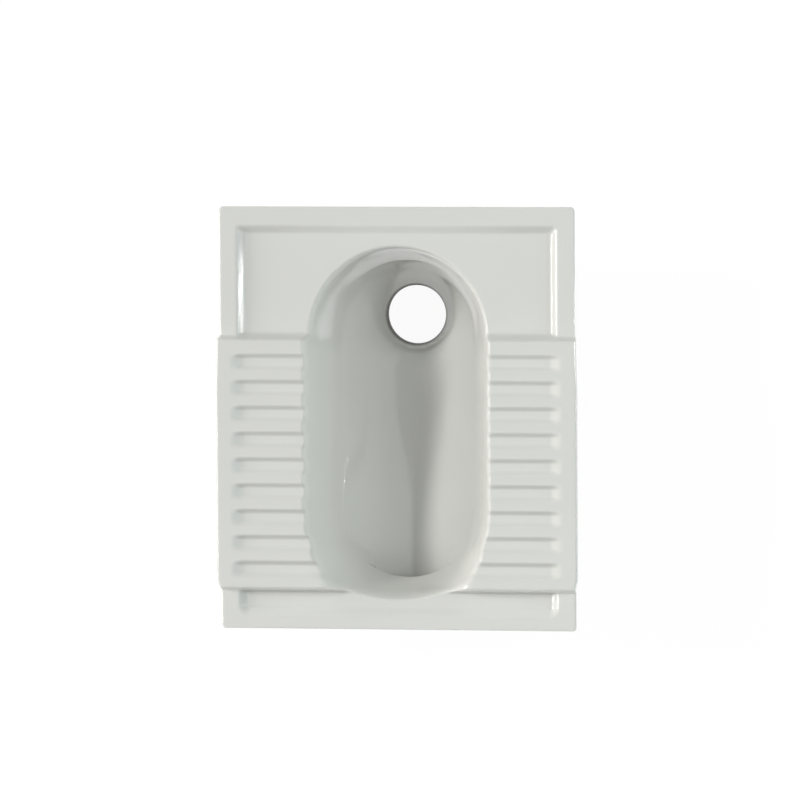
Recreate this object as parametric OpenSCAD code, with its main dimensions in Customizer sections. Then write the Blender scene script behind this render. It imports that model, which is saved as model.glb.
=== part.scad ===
// Squat toilet pan in glazed vitreous china, with its flush and drain fittings.
// +Z is up and the floor is z = 0. +Y points to the drain end, +X to the right.
// The origin is on the floor, under the middle of the deck.

/* [Overall] */
// Length of the deck, from the flush end to the drain end
pan_l = 500; // [480:5:560]
// Width of the deck at its border
pan_w = 424; // [410:2:460]
// Height of the footrest tops above the floor
pan_h = 200; // [190:5:240]

/* [Deck] */
// How far the border lies below the footrest tops
border_drop = 12; // [9:1:15]
// Radius of the deck's corners in plan
corner_r = 5; // [3:1:10]
// Thickness of the deck slab under the sunk fields
deck_t = 11.5; // [9:0.5:14]
// Depth of the skirt below the border
skirt_h = 42; // [34:1:50]
// Thickness of the skirt
skirt_t = 11; // [9:0.5:13]
// How far the skirt leans in over its depth
skirt_lean = 8; // [5:1:12]
// Bevel along the outer top edges
edge_bevel = 2; // [1:0.5:3]

/* [Sunk fields] */
// Depth of the sunk fields below the border
field_drop = 8; // [5:1:10]
// Width of the slope round a sunk field, seen from above
field_slope = 9; // [6:1:11]
// Width of the border beside the sunk fields
side_border = 19; // [15:1:24]
// Width of the border at the drain end
back_border = 20.5; // [16:0.5:24]
// Width of the border at the flush end
front_border = 14; // [11:0.5:16]
// Corner radius of the sunk field at the flush end
front_field_r = 14; // [12:1:18]

/* [Footrests] */
// How far the footrests stand out past the border on each side
foot_overhang = 3; // [1:0.5:5]
// Distance from the drain end to the foot of the footrests
foot_back_gap = 151; // [145:1:160]
// Distance from the flush end to the foot of the footrests
foot_front_gap = 44; // [40:1:50]
// Run of the slope at each end of the footrests
step_run = 6; // [4:1:8]

/* [Grooves] */
// Grooves across each footrest
groove_count = 9; // [6:1:10]
// Depth of a groove
groove_depth = 6; // [4:0.5:7]
// Width of a groove at the tread
groove_top_w = 22; // [18:1:24]
// Width of a groove's floor
groove_floor_w = 9; // [7:1:11]
// Distance from the footrest's drain end to the first groove's middle
groove_back_margin = 32; // [28:1:36]
// Distance from the footrest's flush end to the last groove's middle
groove_front_margin = 28; // [24:1:32]
// Distance from the footrest's side to the outer end of the grooves
groove_side_margin = 20; // [15:1:28]

/* [Bowl] */
// Radius of the bowl's round ends at the lip
lip_r = 112; // [106:1:116]
// Radius of the bowl's round ends at the crease under the rim wall
crease_r = 86; // [80:1:90]
// Depth of the crease below the footrest tops
crease_depth = 94; // [86:1:98]
// Distance from the drain end to the bowl's lip
bowl_back_gap = 41; // [38:1:46]
// Distance from the flush end to the bowl's lip
bowl_front_gap = 29; // [26:1:31]
// Rounding of the lip at the footrests
lip_round = 8; // [5:1:10]
// Rounding of the lip at the sunk fields
field_lip_round = 6; // [4:1:7]
// Thickness of the rim wall and of the trough
wall_t = 11; // [9:0.5:13]
// Depth of the trough's valley at the flush end, below the footrest tops
valley_depth = 126; // [120:1:134]
// How far the valley falls from there to the drain end
valley_fall = 16; // [8:1:18]
// Curve of the trough's section at the flush end, 1 for straight sides
front_curve = 1.2; // [1.1:0.05:2]
// Curve of the trough's section at the drain end, more for a flatter floor
back_curve = 2.6; // [2:0.1:3]

/* [Drain] */
// Distance from the crease's drain end to the drain's axis
drain_inset = 69.6; // [66:0.2:76]
// Radius of the drain's narrow neck
drain_r = 35; // [30:1:38]
// Length of the narrow neck
neck_l = 8; // [6:1:12]
// Depth of the neck's upper edge below the footrest tops
neck_depth = 164; // [156:1:168]
// Radius of the funnel's upper edge
funnel_r = 45; // [42:1:50]
// Depth of the funnel's upper edge below the footrest tops
funnel_depth = 144; // [138:1:148]
// Bore radius of the drain spigot
spigot_bore_r = 42; // [39:1:44]
// Outer radius of the drain spigot
spigot_r = 52; // [50:1:54]
// Gap between the trough's underside and the drain seal
seal_gap = 6; // [4:1:10]

/* [Flush inlet] */
// Width of the water slot under the lip
slot_w = 86; // [70:2:100]
// How far the water chamber reaches out past the crease
chamber_run = 8; // [6:1:9]
// Bore radius of the flush inlet
inlet_bore_r = 15; // [12:0.5:15]
// Outer radius of the flush inlet
inlet_r = 24; // [21:0.5:25]
// Length of the flush inlet past the water chamber
inlet_l = 18; // [16:1:18]
// Radius of the inlet's root collar
inlet_root_r = 28; // [26:0.5:29]

/* [Support feet] */
// Distance between the middles of the two feet
foot_spread = 104; // [90:2:112]
// Width of a foot
foot_w = 44; // [34:1:50]
// Thickness of a foot
foot_t = 24; // [18:1:28]
// Distance of the feet from the bowl's flush end centre, towards the flush end
foot_offset = 30; // [20:1:36]

/* [Seals and clip] */
// Radial clearance between a seal and what it sits on
seal_fit = 0.1; // [0.05:0.05:0.2]
// Thickness of the rubber cup's sleeve
cup_t = 5; // [4:0.5:6]
// Radius of the flush pipe that the cup takes
flush_pipe_r = 16; // [14:0.5:17]
// Wall of the cup's neck
neck_t = 4; // [3:0.5:5]
// Length of the cup's grip on the flush inlet
cup_grip = 14; // [12:0.5:14]
// Length of the cup's neck
cup_neck_l = 16; // [14:0.5:16]
// Thickness of the clip's steel band
band_t = 0.8; // [0.6:0.1:1]
// Width of the clip's steel band
band_w = 9; // [7:0.5:10]
// Radius of the clip's screw
screw_r = 3; // [2.5:0.25:3.5]
// Length of the clip's screw housing
housing_l = 15; // [13:1:18]
// Height of the drain seal
outlet_seal_h = 15; // [12:1:16]
// How far the drain seal's lips stand out from the spigot
outlet_seal_lip = 9; // [7:0.5:10]

/* [Hidden] */
$fn = 96;

china = "#d8dbd5";
rubber = "#2c2c2d";
steel = "#b9bdc0";

over = 1;            // how far a cutter runs past the face that it opens
hull_fn = 40;        // sides of the round plates inside a hull
thin = 0.01;         // thickness of the plates inside a hull
curve_lead = 16;     // how far ahead of the bowl's front centre its section starts to change
curve_run = 170;     // length over which the trough's section changes
curve_steps = 6;     // sections that the change takes
curve_points = 8;    // points on each side of a section
crease_ledge = 2;    // width left between the trough's slope and the crease
funnel_ledge = 1;    // width of the edge round the funnel
seat_step = 2;       // how far the seal's seat stands out from the spigot
slope_end = 6;       // run of a groove's outer end
screw_fit = 0.3;     // radial clearance of the screw in its housing
head_l = 5;          // length of the screw's head
head_r = 4.5;        // radius of the screw's head
housing_wall = 1.5;  // sheet thickness of the screw's housing
root_l = 4;          // length of the inlet's root collar
bead = 1.5;          // height of the cup's beads

// Levels
border_z = pan_h - border_drop;
field_z = border_z - field_drop;
under_z = field_z - deck_t;
skirt_z = border_z - skirt_h;
crease_z = pan_h - crease_depth;
valley_z = pan_h - valley_depth;
funnel_z = pan_h - funnel_depth;
valley_end_z = max(valley_z - valley_fall, funnel_z + over);
neck_z = pan_h - neck_depth;
seat_z = funnel_z - wall_t - seal_gap - outlet_seal_h;
tread_floor_z = pan_h - groove_depth;

// Plan
foot_half = pan_w / 2 + foot_overhang;
foot_back_y = pan_l / 2 - foot_back_gap;
foot_front_y = -pan_l / 2 + foot_front_gap;
bowl_back_y = pan_l / 2 - bowl_back_gap - lip_r;
bowl_front_y = -pan_l / 2 + bowl_front_gap + lip_r;
drain_y = bowl_back_y + crease_r - drain_inset;
chamber_y = bowl_front_y - crease_r - chamber_run;
inlet_root_y = chamber_y - wall_t;
inlet_end_y = inlet_root_y - inlet_l;
inlet_z = crease_z - inlet_bore_r - 2 * over;
field_half = pan_w / 2 - side_border;

// Grooves
groove_first_y = foot_back_y - groove_back_margin;
groove_last_y = foot_front_y + groove_front_margin;
groove_pitch = (groove_first_y - groove_last_y) / (groove_count - 1);
groove_end_x = foot_half - groove_side_margin;

// Fittings
seat_r = spigot_r + seat_step;
cup_r = inlet_r + seal_fit + cup_t;
band_in_r = cup_r + seal_fit;
band_out_r = band_in_r + band_t;
band_mid_y = inlet_end_y + cup_grip / 2;
screw_z = inlet_z + band_out_r + screw_r + screw_fit;
housing_half_y = screw_r + screw_fit + housing_wall;

// How far the skirt has leaned in at height z
function lean(z) = max(0, skirt_lean * (border_z - z) / skirt_h);

// Radius of the rim wall's inner face at height z
function wall_r(z) =
    crease_r + (lip_r - lip_round / 2 - crease_r) * (z - crease_z) / (pan_h - lip_round - crease_z);

// Share from 0 to 1 of the way from y_lo to y_hi
function way(y, y_lo, y_hi) = min(1, max(0, (y - y_lo) / (y_hi - y_lo)));

// Height of the trough's valley at y
function valley_at(y) =
    valley_z + (valley_end_z - valley_z) * way(y, bowl_front_y - crease_r, bowl_back_y);

// Curve of the trough's section at y, which changes smoothly
function curve_at(y) =
    let (t = way(y, bowl_front_y - curve_lead, bowl_front_y - curve_lead + curve_run))
    front_curve + (back_curve - front_curve) * t * t * (3 - 2 * t);

// Quarter round of radius r that turns from the rim wall's face into a level surface
function lip_curve(face_r, level_z, r) =
    [for (a = [0:30:90]) [face_r + r - r * cos(a), level_z - r + r * sin(a)]];

// A profile in X and Z, drawn out along Y
module along_y(y_lo, y_hi)
    translate([0, y_hi, 0]) rotate([90, 0, 0]) linear_extrude(height = y_hi - y_lo) children();

// A profile in Y and Z, drawn out along X
module along_x(x_lo, x_hi)
    translate([x_lo, 0, 0]) rotate([90, 0, 90]) linear_extrude(height = x_hi - x_lo) children();

module both_sides() {
    children();
    mirror([1, 0, 0]) children();
}

// A profile of radius and height, taken round the bowl's long round-ended outline
module bowl_sweep(profile) {
    translate([0, bowl_back_y, 0]) rotate_extrude(angle = 180) polygon(profile);
    translate([0, bowl_front_y, 0]) rotate([0, 0, 180]) rotate_extrude(angle = 180)
        polygon(profile);
    both_sides() along_y(bowl_front_y, bowl_back_y) polygon(profile);
}

// A round-ended prism on the bowl's outline
module bowl_prism(r, z_lo, z_hi)
    bowl_sweep([[0, z_lo], [r, z_lo], [r, z_hi], [0, z_hi]]);

// A block whose sides lean in with the skirt
module leaning_block(half_w, y_lo, y_hi, z_lo, z_hi, bevel = 0)
    intersection() {
        along_y(y_lo, y_hi)
            polygon([
                [-half_w + lean(z_lo), z_lo], [half_w - lean(z_lo), z_lo],
                [half_w - lean(z_hi), z_hi - bevel], [half_w - lean(z_hi) - bevel, z_hi],
                [-half_w + lean(z_hi) + bevel, z_hi], [-half_w + lean(z_hi), z_hi - bevel]
            ]);
        along_x(-half_w, half_w)
            polygon([
                [y_lo + lean(z_lo), z_lo], [y_hi - lean(z_lo), z_lo],
                [y_hi - lean(z_hi), z_hi - bevel], [y_hi - lean(z_hi) - bevel, z_hi],
                [y_lo + lean(z_hi) + bevel, z_hi], [y_lo + lean(z_hi), z_hi - bevel]
            ]);
    }

module deck_plan()
    union() {
        square([pan_w - 2 * corner_r, pan_l], center = true);
        square([pan_w, pan_l - 2 * corner_r], center = true);
        for (x = [-1, 1], y = [-1, 1])
            translate([x * (pan_w / 2 - corner_r), y * (pan_l / 2 - corner_r)]) circle(corner_r);
    }

module border_slab()
    intersection() {
        leaning_block(pan_w / 2, -pan_l / 2, pan_l / 2, skirt_z, border_z, edge_bevel);
        translate([0, 0, skirt_z]) linear_extrude(height = skirt_h) deck_plan();
    }

// The sunk field at the drain end, with a slope on three sides
module back_field()
    intersection() {
        along_y(foot_back_y - step_run, pan_l / 2 - back_border)
            polygon([
                [-field_half + field_slope, field_z], [field_half - field_slope, field_z],
                [field_half + field_slope / field_drop, border_z + over],
                [-field_half - field_slope / field_drop, border_z + over]
            ]);
        along_x(-field_half - over - field_slope, field_half + over + field_slope)
            polygon([
                [foot_back_y - step_run, field_z],
                [pan_l / 2 - back_border - field_slope, field_z],
                [pan_l / 2 - back_border, border_z], [pan_l / 2 - back_border, border_z + over],
                [foot_back_y - step_run, border_z + over]
            ]);
    }

// The sunk field at the flush end, with round corners
module front_field() {
    y_lo = -pan_l / 2 + front_border;
    hull()
        for (x = [-1, 1], y = [y_lo + front_field_r, foot_front_y + 2 * front_field_r])
            translate([x * (field_half - front_field_r), y, field_z])
                cylinder(r1 = front_field_r - field_slope,
                         r2 = front_field_r + over * field_slope / field_drop,
                         h = field_drop + over, $fn = hull_fn);
}

module foot_block()
    intersection() {
        along_y(foot_front_y, foot_back_y)
            polygon([
                [-foot_half + skirt_lean, skirt_z], [foot_half - skirt_lean, skirt_z],
                [foot_half, border_z], [foot_half, pan_h - edge_bevel],
                [foot_half - edge_bevel, pan_h], [-foot_half + edge_bevel, pan_h],
                [-foot_half, pan_h - edge_bevel], [-foot_half, border_z]
            ]);
        along_x(-foot_half, foot_half)
            polygon([
                [foot_front_y, skirt_z], [foot_back_y, skirt_z], [foot_back_y, field_z],
                [foot_back_y - step_run, pan_h], [foot_front_y + step_run, pan_h],
                [foot_front_y, field_z]
            ]);
    }

// All of one footrest's grooves as one comb, open to the bowl and sloped at the outer end
module groove_comb()
    intersection() {
        along_x(crease_r, groove_end_x + over)
            polygon(concat(
                [[groove_last_y - groove_top_w, pan_h + 2 * over]],
                [for (i = [groove_count - 1:-1:0], p = [
                    [-groove_top_w / 2, pan_h + over / 2], [-groove_floor_w / 2, tread_floor_z],
                    [groove_floor_w / 2, tread_floor_z], [groove_top_w / 2, pan_h + over / 2]])
                    [groove_first_y - i * groove_pitch + p[0], p[1]]],
                [[groove_first_y + groove_top_w, pan_h + 2 * over]]
            ));
        along_y(foot_front_y, foot_back_y)
            polygon([
                [crease_r, tread_floor_z - over], [groove_end_x - slope_end, tread_floor_z - over],
                [groove_end_x - slope_end, tread_floor_z], [groove_end_x, pan_h],
                [groove_end_x, pan_h + 3 * over], [crease_r, pan_h + 3 * over]
            ]);
    }

// The hollow under the deck, which is deeper under each footrest
module deck_hollow() {
    leaning_block(pan_w / 2 - skirt_t, -pan_l / 2 + skirt_t, pan_l / 2 - skirt_t,
                  skirt_z - over, under_z);
    x_lo = lip_r + lip_round + wall_t;
    y_lo = foot_front_y + step_run + wall_t;
    both_sides()
        translate([x_lo, y_lo, under_z - over])
            cube([foot_half - skirt_t - edge_bevel - x_lo,
                  foot_back_y - step_run - wall_t - y_lo,
                  tread_floor_z - deck_t - under_z + over]);
}

// The rim wall's outer form, solid
module rim_wall()
    bowl_sweep([
        [0, crease_z], [crease_r + wall_t, crease_z],
        [wall_r(under_z + over) + wall_t, under_z + over], [0, under_z + over]
    ]);

// The open bowl above the crease
module bowl_opening()
    bowl_sweep(concat(
        [[0, crease_z - over], [crease_r, crease_z - over], [crease_r, crease_z]],
        lip_curve(wall_r(pan_h - lip_round), pan_h, lip_round),
        [[wall_r(pan_h - lip_round) + lip_round, pan_h + over], [0, pan_h + over]]
    ));

// Rounding of the lip where it meets the sunk fields
module field_lips() {
    start_z = field_z - field_lip_round;
    profile = concat(
        [[crease_r, start_z - over], [wall_r(start_z - over), start_z - over]],
        lip_curve(wall_r(start_z), field_z, field_lip_round),
        [[wall_r(start_z) + field_lip_round, field_z + over], [crease_r, field_z + over]]
    );
    translate([0, bowl_back_y, 0])
        intersection() {
            rotate_extrude(angle = 180) polygon(profile);
            translate([-lip_r, foot_back_y - bowl_back_y, 0]) cube([2 * lip_r, 2 * lip_r, pan_h]);
        }
    translate([0, bowl_front_y, 0])
        intersection() {
            rotate([0, 0, 180]) rotate_extrude(angle = 180) polygon(profile);
            translate([-lip_r, -2 * lip_r, 0])
                cube([2 * lip_r, 2 * lip_r + foot_front_y - bowl_front_y, pan_h]);
        }
}

// The upper casting: border, sunk fields, footrests, skirt and rim wall
module deck()
    color(china)
        difference() {
            union() {
                difference() {
                    union() {
                        difference() {
                            border_slab();
                            back_field();
                            front_field();
                        }
                        foot_block();
                    }
                    deck_hollow();
                }
                rim_wall();
            }
            bowl_opening();
            field_lips();
            both_sides() groove_comb();
        }

// Points of half a cross section of the trough at y, from the valley out to half_w
function trough_half(y, half_w, g) =
    [for (i = [0:curve_points])
        [half_w * i / curve_points,
         valley_at(y) - g
         + (crease_z + over - valley_at(y) + g) * pow(i / curve_points, curve_at(y))]];

// The trough along its straight length, from y_lo to the bowl's back centre
module trough_channel(y_lo, half_w, g) {
    ys = concat([y_lo], [for (i = [0:curve_steps])
        bowl_front_y - curve_lead + curve_run * i / curve_steps], [bowl_back_y]);
    n = 2 * curve_points + 1;
    rows = [for (y = ys) let (half = trough_half(y, half_w, g)) concat(
        [for (i = [curve_points:-1:1]) [-half[i][0], y, half[i][1]]],
        [for (p = half) [p[0], y, p[1]]])];
    last = (len(ys) - 1) * n;
    polyhedron(
        points = [for (row = rows, p = row) p],
        faces = concat(
            [[for (i = [n - 1:-1:0]) i]],
            [[for (i = [0:n - 1]) last + i]],
            [for (k = [0:len(ys) - 2], i = [0:n - 2]) [k * n + i, k * n + i + 1, (k + 1) * n + i]],
            [for (k = [0:len(ys) - 2], i = [0:n - 2])
                [k * n + i + 1, (k + 1) * n + i + 1, (k + 1) * n + i]],
            [for (k = [0:len(ys) - 2]) [k * n, (k + 1) * n, (k + 1) * n + n - 1]],
            [for (k = [0:len(ys) - 2]) [k * n, (k + 1) * n + n - 1, k * n + n - 1]]
        ));
}

// The trough from the flush end to the funnel, grown outwards by g
module trough(g) {
    r = crease_r + crease_ledge + g;
    trough_channel(chamber_y - g, r, g);
    translate([0, bowl_back_y, 0]) rotate_extrude(angle = 180)
        polygon(concat([[0, crease_z + over]], trough_half(bowl_back_y, r, g)));
    hull() {
        translate([0, bowl_back_y, crease_z]) cylinder(r = r, h = over, $fn = 2 * hull_fn);
        translate([0, drain_y, funnel_z - g])
            cylinder(r = funnel_r + funnel_ledge + g, h = thin, $fn = hull_fn);
    }
}

// The trough's inside: under the open bowl, and under the lip at the water slot
module trough_opening()
    intersection() {
        trough(0);
        union() {
            bowl_prism(crease_r, 0, crease_z + 2 * over);
            intersection() {
                bowl_prism(crease_r + chamber_run, 0, crease_z);
                translate([-slot_w / 2, chamber_y, 0]) cube([slot_w, crease_r, crease_z]);
            }
        }
    }

module trough_shell()
    intersection() {
        trough(wall_t);
        union() {
            bowl_prism(crease_r + wall_t, 0, crease_z);
            translate([-slot_w / 2 - wall_t, inlet_root_y, 0])
                cube([slot_w + 2 * wall_t, crease_r, crease_z]);
        }
    }

module support_feet()
    both_sides()
        translate([foot_spread / 2, bowl_front_y - foot_offset, 0])
            linear_extrude(height = crease_z - wall_t)
                union() {
                    square([foot_w - foot_t, foot_t], center = true);
                    for (s = [-1, 1]) translate([s * (foot_w - foot_t) / 2, 0]) circle(d = foot_t);
                }

module drain_spigot() {
    cylinder(r = spigot_r, h = funnel_z);
    translate([0, 0, seat_z]) cylinder(r = seat_r, h = funnel_z - seat_z);
}

module drain_opening() {
    translate([0, 0, -over]) cylinder(r = spigot_bore_r, h = neck_z - neck_l + over);
    cylinder(r = drain_r, h = neck_z + over);
    translate([0, 0, neck_z]) cylinder(r1 = drain_r, r2 = funnel_r, h = funnel_z - neck_z);
    translate([0, 0, funnel_z - thin]) cylinder(r = funnel_r, h = over);
}

// The lower casting: trough, water chamber, funnel, drain spigot and feet
module bowl()
    color(china)
        difference() {
            union() {
                trough_shell();
                translate([0, drain_y, 0]) drain_spigot();
                support_feet();
            }
            trough_opening();
            translate([0, drain_y, 0]) drain_opening();
            translate([0, chamber_y + 3 * over, inlet_z]) rotate([90, 0, 0])
                cylinder(r = inlet_bore_r, h = wall_t + 4 * over);
        }

// The flush inlet that is stuck to the water chamber
module flush_inlet()
    color(china)
        translate([0, inlet_root_y, inlet_z]) rotate([90, 0, 0])
            difference() {
                union() {
                    cylinder(r = inlet_r, h = inlet_l);
                    cylinder(r = inlet_root_r, h = root_l);
                }
                translate([0, 0, -over]) cylinder(r = inlet_bore_r, h = inlet_l + 2 * over);
            }

// Rubber cup that joins the flush pipe to the inlet
module inlet_cup() {
    grip_r = inlet_r + seal_fit;
    neck_r = flush_pipe_r + neck_t;
    color(rubber)
        translate([0, inlet_end_y, inlet_z]) rotate([90, 0, 0])
            rotate_extrude()
                polygon([
                    [grip_r, -cup_grip], [cup_r + bead, -cup_grip], [cup_r + bead, -cup_grip + bead],
                    [cup_r, -cup_grip + bead], [cup_r, over], [neck_r, cup_t],
                    [neck_r, cup_neck_l - 2 * bead], [neck_r + bead, cup_neck_l - bead],
                    [neck_r + bead, cup_neck_l], [flush_pipe_r, cup_neck_l],
                    [flush_pipe_r, seal_fit], [grip_r, seal_fit]
                ]);
}

module clip_band()
    color(steel)
        translate([0, band_mid_y + band_w / 2, inlet_z]) rotate([90, 0, 0])
            difference() {
                cylinder(r = band_out_r, h = band_w);
                translate([0, 0, -over]) cylinder(r = band_in_r, h = band_w + 2 * over);
            }

// Folded housing that holds the screw over the band
module clip_housing() {
    top_z = screw_z + screw_r + screw_fit + housing_wall;
    foot_z = inlet_z + sqrt(pow(band_out_r, 2) - pow(housing_l / 2, 2)) - band_t;
    color(steel)
        difference() {
            translate([-housing_l / 2, band_mid_y - housing_half_y, foot_z])
                cube([housing_l, 2 * housing_half_y, top_z - foot_z]);
            translate([0, band_mid_y + housing_half_y + over, inlet_z]) rotate([90, 0, 0])
                cylinder(r = band_out_r, h = 2 * (housing_half_y + over));
            translate([-housing_l / 2 - over, band_mid_y, screw_z]) rotate([0, 90, 0])
                cylinder(r = screw_r + screw_fit, h = housing_l + 2 * over);
        }
}

// Slotted screw that draws the band tight
module clip_screw()
    color(steel)
        translate([-housing_l / 2, band_mid_y, screw_z]) rotate([0, 90, 0])
            difference() {
                union() {
                    translate([0, 0, -over]) cylinder(r = screw_r, h = housing_l + over + screw_fit);
                    translate([0, 0, housing_l + screw_fit]) cylinder(r = head_r, h = head_l);
                }
                translate([-head_r, -over / 2, housing_l + screw_fit + head_l / 2])
                    cube([2 * head_r, over, head_l]);
            }

// Rubber ring with two lips that seals the spigot in the drain pipe
module outlet_seal() {
    in_r = seat_r + seal_fit;
    out_r = spigot_r + outlet_seal_lip;
    mid_r = (in_r + out_r) / 2;
    color(rubber)
        translate([0, drain_y, seat_z])
            rotate_extrude()
                polygon([
                    [in_r, 0], [mid_r, 0], [out_r, outlet_seal_h * 0.3],
                    [mid_r, outlet_seal_h * 0.4], [mid_r, outlet_seal_h * 0.5],
                    [out_r, outlet_seal_h * 0.8], [mid_r, outlet_seal_h], [in_r, outlet_seal_h]
                ]);
}

deck();
bowl();
flush_inlet();
inlet_cup();
clip_band();
clip_housing();
clip_screw();
outlet_seal();
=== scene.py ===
"""Squat toilet pan in glazed vitreous china, with its flush cup, hose clip and drain seal.

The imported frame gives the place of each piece. Lengths are in metres, +Z is up, and +Y
points to the drain end. The deck and the bowl follow the one rule in GlazeSurface.
"""

import math

import bmesh
import bpy
import numpy as np
from mathutils import Matrix, Vector
from mathutils.geometry import delaunay_2d_cdt


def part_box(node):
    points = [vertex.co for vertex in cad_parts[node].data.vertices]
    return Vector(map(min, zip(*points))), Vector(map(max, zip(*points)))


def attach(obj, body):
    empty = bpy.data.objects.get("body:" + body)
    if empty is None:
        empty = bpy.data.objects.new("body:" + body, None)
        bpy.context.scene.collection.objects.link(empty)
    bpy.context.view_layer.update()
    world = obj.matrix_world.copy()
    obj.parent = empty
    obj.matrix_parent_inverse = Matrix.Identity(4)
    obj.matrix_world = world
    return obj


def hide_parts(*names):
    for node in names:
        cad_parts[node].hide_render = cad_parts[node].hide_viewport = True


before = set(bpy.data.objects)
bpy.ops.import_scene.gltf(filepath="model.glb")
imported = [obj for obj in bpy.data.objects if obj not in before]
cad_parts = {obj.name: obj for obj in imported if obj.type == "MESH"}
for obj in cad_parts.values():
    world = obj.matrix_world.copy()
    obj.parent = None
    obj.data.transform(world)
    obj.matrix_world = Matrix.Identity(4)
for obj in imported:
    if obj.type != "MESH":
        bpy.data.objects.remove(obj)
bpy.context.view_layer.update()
DECK_LOW, DECK_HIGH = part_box("deck")
SEAL_LOW, SEAL_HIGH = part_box("outlet_seal")
INLET_LOW, INLET_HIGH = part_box("flush_inlet")
CUP_LOW, CUP_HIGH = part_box("inlet_cup")
BAND_LOW, BAND_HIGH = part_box("clip_band")
HOUSING_LOW, HOUSING_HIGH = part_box("clip_housing")
SCREW_LOW, SCREW_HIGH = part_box("clip_screw")

bl_info = {
    "name": "Squat toilet pan",
    "version": (1, 0, 0),
    "blender": (4, 5, 0),
    "location": "View3D > Sidebar > Pan",
    "description": "Builds a glazed squat toilet pan with its flush and drain fittings",
    "category": "Add Mesh",
}


def length(name, default, description):
    """A size in metres that a user can change."""
    return bpy.props.FloatProperty(
        name=name, default=default, description=description, unit="LENGTH", precision=5
    )


def colour(name, default, description):
    """A colour that a user can change."""
    return bpy.props.FloatVectorProperty(
        name=name, default=default, description=description, subtype="COLOR", size=3,
        min=0.0, max=1.0,
    )


def plain(name, default, description, low=0.0, high=10.0):
    """A number without a unit that a user can change."""
    return bpy.props.FloatProperty(
        name=name, default=default, description=description, min=low, max=high
    )


class PanSizes(bpy.types.PropertyGroup):
    """Sizes of the china."""

    half_length: length("Half length", DECK_HIGH.y, "Half the length of the deck")
    half_width: length("Half width", 0.212, "Half the width of the deck at its border")
    corner: length("Corner", 0.005, "Corner radius of the deck in plan")
    edge_round: length("Edge", 0.0025, "Rounding along the outer top edges")
    tread_z: length("Tread height", DECK_HIGH.z, "Height of the footrests")
    border_z: length("Border height", 0.188, "Height of the border")
    field_z: length("Field height", 0.180, "Height of the sunk fields")
    field_half: length("Field half width", 0.193, "Half the width of the sunk fields")
    field_back: length("Field end", 0.2295, "Drain end of the sunk field")
    field_front: length("Front field end", 0.236, "Flush end of the front field")
    field_slope: length("Field slope", 0.0125, "Width of the slope round a field")
    field_corner: length("Field corner", 0.014, "Corner radius of the front field")
    step_back: length("Back step", 0.099, "Foot of the footrests' back step")
    step_front: length("Front step", 0.206, "Foot of the footrests' front step")
    step_run: length("Step run", 0.006, "Run of a step's slope")
    overhang: length("Overhang", DECK_HIGH.x - 0.212, "How far the footrests stand out")
    groove_count: bpy.props.IntProperty(
        name="Grooves", default=9, min=1, description="Grooves across each footrest"
    )
    groove_first: length("First groove", 0.067, "Middle of the groove nearest the drain")
    groove_pitch: length("Groove pitch", 0.030625, "Distance from groove to groove")
    groove_depth: length("Groove depth", 0.006, "Depth of a groove")
    groove_top: length("Groove width", 0.022, "Width of a groove at the tread")
    groove_floor: length("Groove floor", 0.007, "Width of a groove's floor")
    groove_end: length("Groove end", 0.1985, "Outer end of the grooves")
    groove_run: length("Groove end run", 0.017, "Run of the slope at a groove's end")
    lip: length("Lip", 0.112, "Radius of the bowl's ends at the lip")
    crease: length("Crease", 0.086, "Radius of the bowl's ends at the crease")
    crease_z: length("Crease height", 0.106, "Height of the crease")
    spine_back: length("Spine end", 0.097, "Centre of the bowl's round drain end")
    spine_front: length("Spine start", -0.109, "Centre of the bowl's round flush end")
    lip_round: length("Lip rounding", 0.013, "How softly the wall turns into the lip")
    flare: plain("Flare", 0.36, "How much more the wall leans at the front corners", 0.0, 1.0)
    flare_start: length("Flare start", 0.142, "Where the flare begins, towards the flush end")
    flare_run: length("Flare run", 0.055, "Length over which the flare grows")
    cove: length("Cove", 0.026, "How softly the wall turns into the trough")
    valley_front: length("Valley start", 0.074, "Height of the valley at the flush end")
    valley_back: length("Valley end", 0.058, "Height of the valley at the drain")
    funnel: length("Funnel", 0.045, "Radius of the funnel's upper edge")
    funnel_z: length("Funnel height", 0.056, "Height of the funnel's upper edge")
    drain_y: length("Drain", (SEAL_LOW.y + SEAL_HIGH.y) / 2, "Place of the drain")
    neck: length("Neck", 0.035, "Radius of the drain's neck")
    neck_z: length("Neck height", 0.036, "Height of the neck's upper edge")
    neck_end: length("Neck end", 0.028, "Height of the neck's lower edge")
    bore: length("Spigot bore", 0.042, "Bore radius of the spigot")
    spigot: length("Spigot", 0.052, "Outer radius of the spigot")
    seat: length("Seal seat", 0.054, "Radius of the seal's seat")
    wall: length("Wall", 0.011, "Thickness of the china")
    slot_half: length("Slot", 0.043, "Half the width of the water slot")
    chamber: length("Chamber", 0.094, "Reach of the water chamber")
    chamber_front: length("Chamber front", -INLET_HIGH.y, "Outer face of the chamber")
    skirt_z: length("Skirt", DECK_LOW.z + 0.04, "Height of the skirt's lower edge")
    skirt_lean: length("Lean", 0.008, "How far the skirt leans in")
    ceiling_z: length("Ceiling", 0.1685, "Height of the deck's underside")
    pocket_z: length("Pocket", 0.1825, "Height of the underside of the footrests")
    foot_spread: length("Feet", 0.104, "Distance between the two feet")
    foot_y: length("Feet place", -0.139, "Place of the feet along the pan")


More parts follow.
